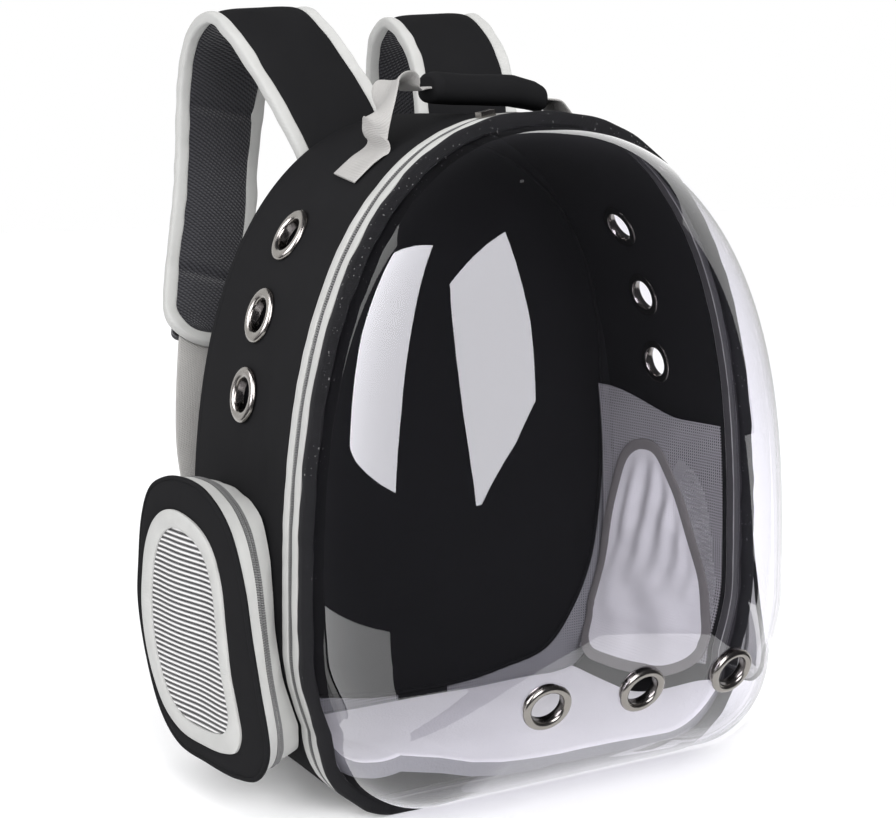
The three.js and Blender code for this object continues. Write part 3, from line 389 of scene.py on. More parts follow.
def spline(points, count, closed=False):
    """Smooth line through points. Each span is a cubic between two points, and its end slopes
    weigh the spans on both sides by the square root of their lengths."""
    points = np.asarray(points, float)
    if closed:
        before, after, last = np.roll(points, 1, 0), np.roll(points, -1, 0), np.roll(points, -2, 0)
        start = points
    else:
        padded = np.vstack([2 * points[0] - points[1], points, 2 * points[-1] - points[-2]])
        before, start, after, last = padded[:-3], padded[1:-2], padded[2:-1], padded[3:]
    gap = [np.maximum(np.linalg.norm(b - a, axis=1, keepdims=True)[:, :1] ** 0.5, 1e-4)
           for a, b in ((before, start), (start, after), (after, last))]
    first = ((start - before) / gap[0] - (after - before) / (gap[0] + gap[1])
             + (after - start) / gap[1]) * gap[1]
    second = ((after - start) / gap[1] - (last - start) / (gap[1] + gap[2])
              + (last - after) / gap[2]) * gap[1]
    t = np.linspace(0, 1, 24, endpoint=False)[None, :, None]
    a, b, m, n = start[:, None], after[:, None], first[:, None], second[:, None]
    curve = (a * (2 * t**3 - 3 * t**2 + 1) + m * (t**3 - 2 * t**2 + t)
             + b * (3 * t**2 - 2 * t**3) + n * (t**3 - t**2)).reshape(-1, points.shape[1])
    if not closed:
        curve = np.vstack([curve, points[-1:]])
    return evenly(curve, count, closed)


def unit(vectors):
    return vectors / np.maximum(np.linalg.norm(vectors, axis=-1, keepdims=True), 1e-9)


def ease(value):
    """A smooth step from 0 to 1, level at both ends."""
    value = np.clip(value, 0, 1)
    return value * value * (3 - 2 * value)


def squared(value, power):
    """A power of the size of a value, with the value's own sign: it squares off a round section."""
    return np.sign(value) * np.abs(value) ** power


def folds(u, v, size, seed, waves=7):
    """Soft folds from -1 to 1: sine waves of about one size, in directions from a seed."""
    dice = np.random.default_rng(seed)
    total = 0.0
    for _ in range(waves):
        angle, phase = dice.uniform(0, np.pi), dice.uniform(0, 2 * np.pi)
        reach = size * dice.uniform(0.6, 1.8)
        total = total + np.sin(2 * np.pi * (u * np.cos(angle) + v * np.sin(angle)) / reach + phase)
    return total / (1.3 * waves**0.5)


# %% Grids


def travelled(grid, axis):
    """Mean distance along one way of a grid up to each line, and once round to the first."""
    step = np.linalg.norm(np.roll(grid, -1, axis) - grid, axis=2).mean(1 - axis)
    return np.concatenate([[0], np.cumsum(step)])


def weave_grid(grid, wrap_rows=False, wrap_cols=False, keep=None):
    """Four-cornered faces between the rows and columns, and where each corner is on the cloth."""
    rows, cols = grid.shape[:2]
    r, c = np.meshgrid(np.arange(rows if wrap_rows else rows - 1),
                       np.arange(cols if wrap_cols else cols - 1), indexing="ij")
    keep = np.ones(r.shape, bool) if keep is None else keep
    r, c = r[keep], c[keep]
    corner_r = np.stack([r, r + 1, r + 1, r], axis=1)
    corner_c = np.stack([c, c, c + 1, c + 1], axis=1)
    faces = (corner_r % rows) * cols + corner_c % cols
    u, v = travelled(grid, 0), travelled(grid, 1)
    return {"points": grid.reshape(-1, 3), "faces": [faces],
            "cloth": [np.stack([u[corner_r], v[corner_c]], axis=2)]}


def joined(*parts):
    """Several parts as one, their corner numbers moved up past the parts before."""
    whole = {"points": np.vstack([p["points"] for p in parts]), "faces": [], "cloth": []}
    start = 0
    for part in parts:
        whole["faces"] += [faces + start for faces in part["faces"]]
        whole["cloth"] += part["cloth"]
        start += len(part["points"])
    return whole


def tube(grid):
    """Rings along a piece, closed round each ring and with a fan over both ends."""
    part = weave_grid(grid, wrap_cols=True)
    rows, cols = grid.shape[:2]
    ends = []
    for row, flip in ((0, True), (rows - 1, False)):
        hub = len(part["points"])
        part["points"] = np.vstack([part["points"], grid[row].mean(0)])
        ring = row * cols + np.arange(cols)
        fan = np.stack([ring, np.roll(ring, -1), np.full(cols, hub)], axis=1)
        ends.append(fan[:, ::-1] if flip else fan)
    fans = np.vstack(ends)
    part["faces"].append(fans)
    part["cloth"].append(np.zeros((len(fans), 3, 2)))
    return part


def two_skins(outer, inner, wrap_rows=False, keep=None):
    """A sheet with a thickness: the outer grid, the inner grid turned over, and a wall wherever
    a face of one has no neighbour, so holes get their own rim."""
    rows, cols = outer.shape[:2]
    shape = (rows if wrap_rows else rows - 1, cols - 1)
    keep = np.ones(shape, bool) if keep is None else keep
    front = weave_grid(outer, wrap_rows, False, keep)
    back = weave_grid(inner, wrap_rows, False, keep)
    back["faces"] = [f[:, ::-1] for f in back["faces"]]
    back["cloth"] = [c[:, ::-1] for c in back["cloth"]]
    whole = joined(front, back)
    half = rows * cols
    u, v = travelled(outer, 0), travelled(outer, 1)
    ways = {"up": (-1, 0), "down": (1, 0), "left": (0, -1), "right": (0, 1)}
    ends = {"up": ((0, 1), (0, 0)), "down": ((1, 0), (1, 1)), "left": ((0, 0), (1, 0)),
            "right": ((1, 1), (0, 1))}
    for way, (dr, dc) in ways.items():
        beside = np.zeros_like(keep)
        if dr:
            beside = np.roll(keep, -dr, 0)
            if not wrap_rows:
                beside[0 if dr < 0 else -1] = False
        else:
            beside = np.roll(keep, -dc, 1)
            beside[:, 0 if dc < 0 else -1] = False
        r, c = np.nonzero(keep & ~beside)
        (ar, ac), (br, bc) = ends[way]
        a = ((r + ar) % rows) * cols + c + ac
        b = ((r + br) % rows) * cols + c + bc
        whole["faces"].append(np.stack([a, b, b + half, a + half], axis=1))
        spot = np.stack([u[r], v[c]], axis=1)
        whole["cloth"].append(np.repeat(spot[:, None], 4, axis=1))
    return whole


# %% [markdown]
# A closed skin that is inside out holds a negative volume, so that sign decides whether the faces
# are turned before the mesh is made.

# %% From arrays to objects


def enclosed(part):
    """Volume inside a closed skin: each face makes a thin pyramid with the origin."""
    points, total = part["points"], 0.0
    for faces in part["faces"]:
        for k in range(1, faces.shape[1] - 1):
            a, b, c = (points[faces[:, n]] for n in (0, k, k + 1))
            total += np.einsum("ij,ij->", a, np.cross(b, c)) / 6
    return total


def build(name, part, finishes, nodes=(), sharp=42, marks=None):
    """Makes the object, points its faces outwards and lets it stand for its CAD nodes."""
    if enclosed(part) < 0:
        part["faces"] = [f[:, ::-1] for f in part["faces"]]
        part["cloth"] = [c[:, ::-1] for c in part["cloth"]]
    mesh = bpy.data.meshes.new(name)
    corners = [row for faces in part["faces"] for row in faces.tolist()]
    mesh.from_pydata((part["points"] * MM).tolist(), [], corners)
    layer = mesh.uv_layers.new(name="cloth")
    layer.data.foreach_set("uv", np.concatenate([c.reshape(-1) for c in part["cloth"]]))
    mesh.polygons.foreach_set("use_smooth", np.ones(len(mesh.polygons), bool))
    mesh.set_sharp_from_angle(angle=np.radians(sharp))
    for finish in finishes if isinstance(finishes, (list, tuple)) else [finishes]:
        mesh.materials.append(finish)
    if marks is not None:
        mesh.polygons.foreach_set("material_index", marks.astype(np.int32))
    mesh.update()
    thing = bpy.data.objects.new(name, mesh)
    bpy.context.collection.objects.link(thing)
    if nodes:
        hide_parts(*nodes)
    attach(thing, "root")
    print(f"{name}: {len(corners)} faces, {enclosed(part) / 1000:.1f} cm3")
    return thing


def marked(part, groups):
    """Which faces of a part belong to the given groups of its faces."""
    return np.concatenate([np.full(len(faces), n in groups) for n, faces in enumerate(part["faces"])])


def flat_cloth(part, axes):
    """Lays the cloth's map flat over two of the three axes, so that its threads run level."""
    part["cloth"] = [part["points"][faces][..., axes] for faces in part["faces"]]
    return part


def skin_area(part):
    """Area of one side of a thin part in square metres."""
    total = 0.0
    for faces in part["faces"]:
        a, b, c = (part["points"][faces[:, n]] for n in (0, 1, 2))
        d = part["points"][faces[:, -1]]
        total += np.linalg.norm(np.cross(b - a, c - a), axis=1).sum() / 2
        total += np.linalg.norm(np.cross(c - a, d - a), axis=1).sum() / 2
    return total / 2e6


def mirror_part(part, side):
    """The left hand copy of a right hand part: every x changes its sign."""
    points = part["points"] * np.array([-1.0 if side == "left" else 1.0, 1.0, 1.0])
    return {"points": points, "faces": list(part["faces"]), "cloth": list(part["cloth"])}


# %% [markdown]
# ## The shell's outline
# Seen from the front the shell is a flat base with round corners, sides that lean out a little
# and a tall arch. One function gives that line, and the shell, rim, zip and dome all follow it.

# %% Outline
# Half width, height, where the arch springs, how far the sides lean out, and the corner's radius.
HALF, HEIGHT, SPRING, LEAN, CORNER = 167.0, 420.0, 107.0, 11.0, 57.0
ARCH_SIDE, ARCH_TOP = 2.26, 2.69
RIM_Y, PANEL_Y, BACK_Y = -80.0, 75.0, 80.0


def outline(count, inset=0.0):
    """Places x, z round the shell and the way out at each: quarter circles at the base, a sine
    lean up the side, and for the arch cosine and sine raised to powers."""
    t = np.linspace(0, 1, 400)
    flat = HALF - LEAN - CORNER
    turn, rise = t * np.pi / 2, (t**1.3) * np.pi / 2
    x = [flat * t, flat + CORNER * np.sin(turn), HALF - LEAN + LEAN * np.sin(turn),
         HALF * np.clip(np.cos(rise), 0, 1) ** (2 / ARCH_SIDE)]
    z = [0 * t, CORNER * (1 - np.cos(turn)), CORNER + (SPRING - CORNER) * t,
         SPRING + (HEIGHT - SPRING) * np.sin(rise) ** (2 / ARCH_TOP)]
    half = np.stack([np.concatenate(x), 0 * np.concatenate(x), np.concatenate(z)], axis=1)
    half = half[np.concatenate([[True], np.linalg.norm(np.diff(half, axis=0), axis=1) > 1e-6])]
    whole = np.vstack([half, half[-2:0:-1] * np.array([-1, 1, 1])])
    ring = evenly(whole, count, closed=True)
    along = unit(np.roll(ring, -1, 0) - np.roll(ring, 1, 0))
    out = np.stack([along[:, 2], 0 * along[:, 0], -along[:, 0]], axis=1)
    return ring - out * inset, out


def band(count, section, ruffle=0.0, seed=1):
    """A strip round the outline: its section is a closed line of insets and places along Y."""
    ring, out = outline(count)
    inset, y = np.asarray(section, float).T
    grid = ring[:, None] - out[:, None] * inset[None, :, None]
    grid[..., 1] = y[None, :]
    if ruffle:
        walk = travelled(grid, 0)[:-1]
        shift = folds(walk[:, None], inset[None] * 2, 22, seed) * ruffle
        grid = grid + out[:, None] * np.minimum(shift, 0.25)[..., None]
        grid[..., 1] += folds(walk[:, None], y[None] * 2, 17, seed + 1) * ruffle * 0.6
    return grid


def rounded(low_a, high_a, low_b, high_b, radius, steps=4):
    """Corner points of a rectangle with round corners."""
    turn = np.linspace(0, np.pi / 2, steps)
    corners = []
    for a, b, start in ((high_a, high_b, 0), (low_a, high_b, 1), (low_a, low_b, 2), (high_a, low_b, 3)):
        angle = turn + start * np.pi / 2
        ca = a - radius * np.sign(a - low_a - 1e-9) if a == high_a else a + radius
        cb = b - radius if b == high_b else b + radius
        corners.append(np.stack([ca + radius * np.cos(angle), cb + radius * np.sin(angle)], axis=1))
    return np.vstack(corners)


print("outline length", round(float(travelled(outline(400)[0][:, None], 0)[-1])), "mm")

# %% [markdown]
# ## Eyelets
# A vent eyelet is a rolled ring outside, a barrel through the cloth and a washer inside. It is a
# profile turned round an axis, stood on the wall or the dome along the surface's own normal.

# %% Eyelets
WALL_EYELETS = {"outer": 17.5, "bore": 10.5, "outside": 0.6, "inside": 3.2}
DOME_EYELETS = {"outer": 15.0, "bore": 10.0, "outside": 0.9, "inside": 2.6}


def turned(profile, place, normal, count=64):
    """A closed profile of radius and height, swept in a full circle round the normal."""
    normal = unit(np.asarray(normal, float))
    side = unit(np.cross(normal, (0.0, 0.3, 1.0)))
    over = np.cross(normal, side)
    angle = np.linspace(0, 2 * np.pi, count, endpoint=False)[:, None, None]
    radius, height = np.asarray(profile, float).T[:, None, :, None]
    ring = side * np.cos(angle) + over * np.sin(angle)
    return np.asarray(place, float) + ring * radius + normal * height


def eyelet(size, place, normal):
    bore, outer, inside = size["bore"], size["outer"], -size["inside"]
    turn = np.linspace(0, np.pi, 14)
    middle, half = (outer + bore) / 2, (outer - bore) / 2
    roll = [(middle + half * np.cos(t), size["outside"] + 2.3 * np.sin(t) ** 0.8) for t in turn]
    profile = [(bore, size["outside"] - 0.6), (bore, inside - 1.2), (bore + 0.6, inside - 1.7),
               (outer - 2.6, inside - 1.5), (outer - 1.9, inside - 0.8), (outer - 2.6, inside),
               (bore + 1.6, inside), (bore + 1.6, size["outside"] - 0.1), (outer - 0.4, size["outside"] - 0.1)]
    return weave_grid(turned(roll + profile, place, normal), wrap_rows=True, wrap_cols=True)


def wall_spot(height, y):
    """Place and way out on the right wall at a height."""
    ring, out = outline(2000)
    right = slice(0, 1000)
    k = np.argmin(np.abs(ring[right, 2] - height) + (ring[right, 0] < 60) * 1000)
    return np.array([ring[k, 0], y, ring[k, 2]]), out[k]


side_spots = [wall_spot(345 - 48.3 * k, 12.0) for k in range(3)]
for side, sign in (("left", -1), ("right", 1)):
    for k, (place, normal) in enumerate(side_spots):
        flip = np.array([sign, 1, 1])
        build(f"wall_eyelet_{side}_{k + 1}", eyelet(WALL_EYELETS, place * flip, normal * flip),
              nickel, [f"side_eyelet_{side}_{k + 1}"], 60)

# %% [markdown]
# ## The shell's cloth
# The side wall is one long strip round the arch that hardly sags, with slack
# creases low on each side. Its holes are left out of the grid, so that one sees through them.

# %% Pocket outlines
SEAM_ROWS = [(0.65, 1.0), (0.83, 0.98), (0.94, 0.88), (0.99, 0.72), (1.0, 0.5), (0.94, 0.3),
             (0.82, 0.12), (0.68, 0.02), (0.42, 0.0), (0.13, 0.01), (0.01, 0.08), (0.0, 0.36),
             (0.048, 0.55), (0.095, 0.78), (0.21, 0.93), (0.44, 0.99)]
FACE_ROWS = [(0.57, 1.0), (0.745, 0.985), (0.875, 0.93), (0.945, 0.82), (0.985, 0.64), (1.0, 0.5),
             (0.945, 0.3), (0.83, 0.11), (0.69, 0.02), (0.46, 0.0), (0.22, 0.0), (0.07, 0.035),
             (0.0, 0.13), (0.06, 0.35), (0.11, 0.51), (0.16, 0.69), (0.26, 0.87), (0.41, 0.97)]
WINDOW_ROWS = [(0.6, 1.0), (0.74, 0.98), (0.86, 0.91), (0.94, 0.8), (0.98, 0.67), (1.0, 0.52),
               (0.97, 0.36), (0.9, 0.22), (0.78, 0.09), (0.6, 0.015), (0.36, 0.0), (0.16, 0.01),
               (0.04, 0.045), (0.0, 0.12), (0.03, 0.22), (0.09, 0.36), (0.13, 0.55), (0.17, 0.75),
               (0.25, 0.88), (0.37, 0.955)]
POCKET_BOXES = {"base": (SEAM_ROWS, 24, 126, 34, 157), "opening": (SEAM_ROWS, 32, 110, 42, 140),
                "face": (FACE_ROWS, 5, 147, 27, 172), "trim": (WINDOW_ROWS, 31, 115, 37, 142),
                "window": (WINDOW_ROWS, 44, 90, 47, 121)}


def pocket_line(which, count, grow=0.0):
    """A smooth loop that fills one of the pocket's boxes, as places along Y and Z."""
    rows, front, depth, bottom, height = POCKET_BOXES[which]
    share = spline(np.array([(b, u, 0.0) for b, u in rows]), count, closed=True)
    y = RIM_Y + front - grow + share[:, 0] * (depth + 2 * grow)
    z = bottom - grow + share[:, 1] * (height + 2 * grow)
    return y, z


def inside_loop(y, z, loop_y, loop_z):
    """Whether places lie inside a loop: they do if a line to one side crosses it an odd number of
    times."""
    y0, z0, y1, z1 = loop_y, loop_z, np.roll(loop_y, -1), np.roll(loop_z, -1)
    y, z = y[..., None], z[..., None]
    spans = (z0 > z) != (z1 > z)
    cross = y0 + (z - z0) * (y1 - y0) / np.where(z1 == z0, 1e-9, z1 - z0)
    return (spans & (y < cross)).sum(-1) % 2 == 1


# %% Shell wall
ring, out = outline(560)
across = np.linspace(-57.4, 74.7, 54)
skin = np.repeat(ring[:, None], len(across), axis=1)
skin[..., 1] = across[None]
walk = travelled(skin, 0)[:-1]
low = np.exp(-((ring[:, 2] - 215) / 45) ** 2)[:, None]
near_rim = np.exp(-((across + 30) / 28) ** 2)[None]
crease = folds(walk[:, None] * 0.7, across[None] * 1.6, 60, 5) * 1.3 * low * near_rim
slack = crease + folds(walk[:, None], across[None], 130, 8) * 0.5
slack = slack * np.minimum(1, (across + 57.4) / 12)[None] * np.minimum(1, (74.7 - across) / 12)[None]
slack = slack * (ring[:, 2] > 4)[:, None]
outer = skin + out[:, None] * np.clip(slack, -1.4, 0.5)[..., None]
inner = skin - out[:, None] * (2.6 + 0 * slack)[..., None]

centre = (skin + np.roll(skin, -1, 0))[:, :-1] / 2
centre[..., 1] = (across[:-1] + across[1:])[None] / 2
keep = np.ones(centre.shape[:2], bool)
for place, normal in side_spots:
    for sign in (-1, 1):
        gap = np.linalg.norm(centre - place * np.array([sign, 1, 1]), axis=2)
        keep &= gap > WALL_EYELETS["bore"] + 2.0
on_side = np.abs(centre[..., 0]) > 100
keep &= ~(inside_loop(centre[..., 1], centre[..., 2], *pocket_line("opening", 120)) & on_side)
build("shell_cloth", two_skins(outer, inner, True, keep), [black_cloth], ["shell_wall"])

# %% [markdown]
# The back is a padded panel: a foam layer between two cloths, crowned inside a seam that runs
# round it. Inside the cabin it shows as a black egg-shaped lining.

# %% Back panel


def disc(count, rings, y_of, power=0.75):
    """The area inside the outline as rings that shrink to the middle: the place along Y is a
    function of how far in each ring is, from 0 at the edge to 1 in the middle."""
    line, _ = outline(count)
    share = np.linspace(0, 1, rings) ** power
    centre = np.array([0, 0, 205.0])
    grid = centre + (line[:, None] - centre) * (1 - share * 0.999)[None, :, None]
    grid[..., 1] = y_of(share[None] + 0 * grid[..., 0], grid)
    return grid


def back_outside(share, grid):
    """Flat rim, a sewn dip near it, then the crown of the foam."""
    inset = share * 150
    seam = np.exp(-((inset - 12) / 2.2) ** 2)
    crown = np.clip((inset - 13) / 30, 0, 1) ** 0.5
    quilt = folds(grid[..., 0], grid[..., 2], 160, 3) * 0.3
    return BACK_Y - 1.2 * seam + (1.6 + quilt) * crown


panel = disc(360, 60, back_outside)
lining = disc(360, 60, lambda share, grid: np.full(share.shape, PANEL_Y))
edge = np.linspace(0, 1, 5)[1:-1]
rim = np.stack([panel[:, 0] + (lining[:, 0] - panel[:, 0]) * k for k in edge], axis=1)
whole = np.concatenate([panel[:, ::-1], rim, lining], axis=1)
part = weave_grid(whole, wrap_rows=True)
for col in (0, whole.shape[1] - 1):
    hub = len(part["points"])
    part["points"] = np.vstack([part["points"], whole[:, col].mean(0)])
    rim_line = np.arange(360) * whole.shape[1] + col
    fan = np.stack([rim_line, np.roll(rim_line, -1), np.full(360, hub)], axis=1)
    part["faces"].append(fan if col == 0 else fan[:, ::-1])
back = build("back_cloth", flat_cloth(part, [0, 2]), [black_cloth], ["back_panel"])

# %% [markdown]
# ## Rim: binding and zip
# The dome's flange is held under a folded black binding, which the sewing pulls into small
# ruffles. Behind it lie the zip's two tapes with the coil between them.

# %% Binding and tapes
section = rounded(-0.6, 8.2, -84.6, -79.9, 1.9)
build("rim_cloth", weave_grid(band(720, section, 0.55, 11), True, True), [binding_cloth],
      ["rim_binding"], 60)
for name, low_y, high_y, seed in (("front", -79.3, -71.4, 21), ("rear", -65.9, -58.0, 22)):
    section = rounded(0.0, 2.4, low_y, high_y, 0.6, 3)
    # The inner face of each tape takes the darker tape: painted shade.
    shaded_inner_face = np.tile(np.arange(len(section)) == len(section) - 1, 560)
    build(f"tape_{name}", weave_grid(band(560, section, 0.18, seed), True, True),
          [grey_tape, painted_shade_tape], [f"zip_tape_{name}"], 60, marks=shaded_inner_face)


def teeth(ring, out, middle_y, width, pitch, height):
    """Coil: a small eight-cornered tooth at each pitch, set across the line by turns."""
    total = travelled(ring[:, None], 0)[-1]
    count = int(total / pitch)
    spots = evenly(np.hstack([ring, out]), count, closed=True)
    place, normal = spots[:, :3], unit(spots[:, 3:6])
    along = unit(np.roll(place, -1, 0) - np.roll(place, 1, 0))
    across = np.cross(normal, along)
    middle = place.copy()
    if middle_y is not None:
        middle[:, 1] = middle_y
    signs = np.array([(a, b, c) for a in (-1, 1) for b in (-1, 1) for c in (0, 1)], float)
    slim = np.where(signs[:, 2] > 0, 0.6, 1.0)
    a = along[:, None] * (signs[:, 0] * slim * pitch * 0.36)[None, :, None]
    b = across[:, None] * (signs[:, 1] * np.where(signs[:, 2] > 0, 0.8, 1.0) * width / 2)[None, :, None]
    c = normal[:, None] * (signs[:, 2] * height)[None, :, None]
    points = (middle[:, None] + a + b + c).reshape(-1, 3)
    box = np.array([(0, 4, 6, 2), (1, 3, 7, 5), (0, 1, 5, 4), (2, 6, 7, 3), (0, 2, 3, 1), (4, 5, 7, 6)])
    faces = (np.arange(count)[:, None, None] * 8 + box[None]).reshape(-1, 4)
    return {"points": points, "faces": [faces], "cloth": [np.zeros((len(faces), 4, 2))]}


line, way = outline(900, 1.3)
core = weave_grid(band(560, rounded(1.4, 2.6, -70.9, -66.3, 0.4, 3)), True, True)
coil = joined(core, teeth(line, way, -68.6, 3.6, 1.5, 1.3))
build("coil", coil, [coil_plastic], ["zip_coil"], 30)

# %% [markdown]
# ## Dome
# The dome is blown from one clear sheet: every ring of it is the outline again, smaller and
# further forward. Three eyelets let air in near its foot.

# %% Dome
DOME_BULGE, DOME_CENTRE = 125.0, 208.0
DOME_PLAN, DOME_POWER = 2.3, 2.15
DOME_COUNT, DOME_STEPS = 420, 88


def dome_skin(count, steps, inset, base_y):
    """Rings of the outline that shrink with a power of the cosine of a turn while they move
    forward with a power of its sine."""
    line, _ = outline(count, inset)
    turn = np.linspace(0, np.pi / 2, steps)[None, :, None]
    shrink = np.maximum(np.cos(turn), 0) ** (2 / DOME_PLAN)
    centre = np.array([0, 0, DOME_CENTRE])
    grid = centre + (line[:, None] - centre) * np.maximum(shrink, 0.0012)
    grid[..., 1] = (base_y - DOME_BULGE * np.sin(turn[..., 0]) ** (2 / DOME_POWER))
    return grid


outer = dome_skin(DOME_COUNT, DOME_STEPS, 8.3, -81.7)
inner = dome_skin(DOME_COUNT, DOME_STEPS, 10.3, -79.7)
flange_out, _ = outline(DOME_COUNT, 2.0)
flange = np.stack([flange_out, flange_out], axis=1)
flange[:, 0, 1], flange[:, 1, 1] = -81.7, -79.7
outer = np.concatenate([flange[:, :1], outer], axis=1)
inner = np.concatenate([flange[:, 1:], inner], axis=1)


def dome_spot(x, z):
    """Nearest point of the dome to a place seen from the front, and the way out there."""
    flat = np.linalg.norm(outer[..., [0, 2]] - np.array([x, z]), axis=2) + (outer[..., 1] > -100) * 99
    i, j = np.unravel_index(np.argmin(flat), flat.shape)
    side = outer[(i + 2) % DOME_COUNT, j] - outer[i - 2, j]
    down = outer[i, j + 1] - outer[i, j - 1]
    normal = unit(np.cross(side, down))
    place = outer[i, j].copy()
    return place, normal * (-1 if normal[1] > 0 else 1)


centre = (outer[:, 1:] + outer[:, :-1]) / 2
centre = (centre + np.roll(centre, -1, 0)) / 2
keep = np.ones(centre.shape[:2], bool)
for k in range(3):
    place, normal = dome_spot(65 * (k - 1), 90)
    keep &= np.linalg.norm(centre - place, axis=2) > DOME_EYELETS["bore"] + 2.4
    build(f"dome_ring_{k + 1}", eyelet(DOME_EYELETS, place, normal), nickel,
          [f"dome_eyelet_{k + 1}"], 60)
part = two_skins(outer, inner, True, keep)
build("dome_sheet", part, [clear_sheet], ["dome"], 60)

# %% [markdown]
# ## Back lining
# Inside, the back panel carries a padded black lining with a piped edge. Below it, pieces of net
# fill the panel's lower corners.

# %% Back lining
LINING_ROWS = [(0, 17.5), (35, 18.5), (65, 23), (103, 33), (127, 62), (139, 88), (144, 107), (150, 160),
               (150, 223), (146, 275), (131, 325), (104, 364), (62, 393), (0, 403)]
NET_CORNER = [(150, 222), (150, 160), (144, 107), (139, 88), (127, 62), (103, 33), (65, 23), (20, 18.2)]


def cordon(loop, radius, normal=(1.0, 0.0, 0.0), count=10):
    """A thin round cord along a closed loop that lies across the given way."""
    along = unit(np.roll(loop, -1, 0) - np.roll(loop, 1, 0))
    side = unit(np.cross(along, np.array(normal)))
    over = np.cross(side, along)
    angle = np.linspace(0, 2 * np.pi, count, endpoint=False)
    grid = (loop[:, None] + side[:, None] * (np.cos(angle) * radius)[None, :, None]
            + over[:, None] * (np.sin(angle) * radius)[None, :, None])
    return weave_grid(grid, wrap_rows=True, wrap_cols=True)


half = np.array([(x, PANEL_Y, z) for x, z in LINING_ROWS], float)
loop = spline(np.vstack([half, half[-2:0:-1] * np.array([-1, 1, 1])]), 320, closed=True)
share = np.linspace(0, 1, 38)[None, :, None] ** 0.8
centre = np.array([0, PANEL_Y, 205.0])
skin = centre + (loop[:, None] - centre) * (1 - share * 0.998)
swell = folds(skin[..., 0], skin[..., 2], 90, 33) * 0.5 * ease(share[..., 0] * 5)
puff = 0.7 + 2.6 * ease(share[..., 0] * 7) + swell
front, rear = skin.copy(), skin.copy()
front[..., 1] -= puff
rear[..., 1] -= 0.2
seam = loop.copy()
seam[:, 1] -= 1.7
lining = build("back_lining", flat_cloth(joined(two_skins(front, rear, True), cordon(seam, 1.5, (0, 1, 0))),
                                         [0, 2]), [lining_cloth], sharp=60)

inner_line = spline(np.array([(x, 0, z) for x, z in NET_CORNER], float), 90)
wall_line, _ = outline(2400, 5.0)
wall_line = wall_line[(wall_line[:, 0] > 20) & (wall_line[:, 2] < 224)][::-1]
wall_line = evenly(wall_line, 90)
share = np.linspace(0, 1, 14)[None, :, None]
skin = inner_line[:, None] * (1 - share) + wall_line[:, None] * share
front, rear = skin.copy(), skin.copy()
front[..., 1], rear[..., 1] = PANEL_Y - 0.7, PANEL_Y - 0.25
for side in ("left", "right"):
    part = mirror_part(flat_cloth(two_skins(front, rear), [0, 2]), side)
    corner = build(f"corner_net_{side}", part, [corner_net])
    print("corner net", round(skin_area(part), 5), "m2")

# %% [markdown]
# ## Floor mat
# A foam mat with a white pile cover lies on the base. It is wider than the flat of the floor, so
# its sides curl up the round corners, and its front has bowed up at the left.

# %% Mat
MAT_THICK, CURL_TOP, CURL_CUT = 11.0, 38.5, 36.0
BOW_ROWS = np.array([(-145, 8), (-125, 15), (-100, 21), (-72, 14.5), (-50, 8), (-28, 4.5), (16, 1),
                     (46, 0), (145, 0)], float)

line, way = outline(2400, 3.4)
foot = np.hstack([line, way])
right = foot[(line[:, 2] < CURL_TOP) & (line[:, 0] >= 0)]
left = foot[(line[:, 2] < CURL_TOP) & (line[:, 0] < 0)]
foot = evenly(np.vstack([left, right]), 400)
reach = travelled(foot[:, None, :3], 0)[-2]
across = np.linspace(-79.0, 74.0, 80)[None]
cut = CURL_CUT / reach * ease((across + 79) / 85)
walk = cut + (1 - 2 * cut) * np.linspace(0, 1, 170)[:, None]
place = np.stack([np.interp(walk, np.linspace(0, 1, 400), column) for column in foot.T], axis=2)
under, way = place[..., :3].copy(), unit(place[..., 3:])
under[..., 1] = across
under[..., 2] += np.interp(under[..., 0], *BOW_ROWS.T) * (1 - (across + 79) / 153) ** 1.3
swell = 1 - np.abs(np.linspace(-1, 1, 170)[:, None]) ** 10 * 0.5
swell = swell * (1 - 0.12 * np.exp(-(across + 79) / 1.6)) * (1 - 0.5 * np.exp((across - 74) / 3))
dent = folds(walk * reach, across, 90, 31) * 0.9
top = under - way * ((MAT_THICK + dent) * swell)[..., None]
part = two_skins(top, under)
# The mat's front edge and underside take the darker pile: painted shade.
mat = build("mat", part, [mat_pile, mat_shaded_side], ["floor_mat"], 65, marks=marked(part, (1, 4)))

# %% [markdown]
# ## Nets inside
# A pale net lines each side wall above the mat and is drawn round to the back panel. A window of
# white mesh is let into it, with a tape sewn round, so the pocket airs the cabin.

# %% Nets
NET_FRONT, NET_DEEP = -55.5, 125.0
NET_WINDOW = [(28, 184), (12, 183.5), (-5, 162), (-23.5, 125.5), (-42, 78.5), (-48.5, 60), (-39.5, 45),
              (-19, 31), (4.5, 26), (33, 22), (55.5, 22), (64, 30), (65.5, 54), (65, 84), (62, 115),
              (53, 148.5), (41.5, 174.5)]


def wall_curve(z, inset):
    """Places across of the right wall at given heights, moved in by an inset."""
    line, way = outline(1600)
    right = slice(0, 800)
    x = np.interp(z, line[right, 2], line[right, 0])
    nx = np.interp(z, line[right, 2], way[right, 0])
    nz = np.interp(z, line[right, 2], way[right, 2])
    return x - nx * inset, z - nz * inset


def net_place(y, z, off=0.0):
    """The net's surface: it stands further off the wall as it goes back, and has a little slack."""
    share = np.clip((y - NET_FRONT) / NET_DEEP, 0, 1)
    slack = folds(z, y, 70, 41) * 3.6 * share * (1 - share)
    x, z = wall_curve(z, 3.6 + 12.5 * share + slack + off)
    return np.stack([x, y + 0 * x, z], axis=-1)


window_loop = spline(np.array([(y, z, 0) for y, z in NET_WINDOW], float), 180, closed=True)[:, :2]
ahead = np.roll(window_loop, -1, 0) - np.roll(window_loop, 1, 0)
window_out = unit(np.stack([-ahead[:, 1], ahead[:, 0]], axis=1))
window_out *= np.sign(np.einsum("ij,ij->", window_out, window_loop - window_loop.mean(0)))


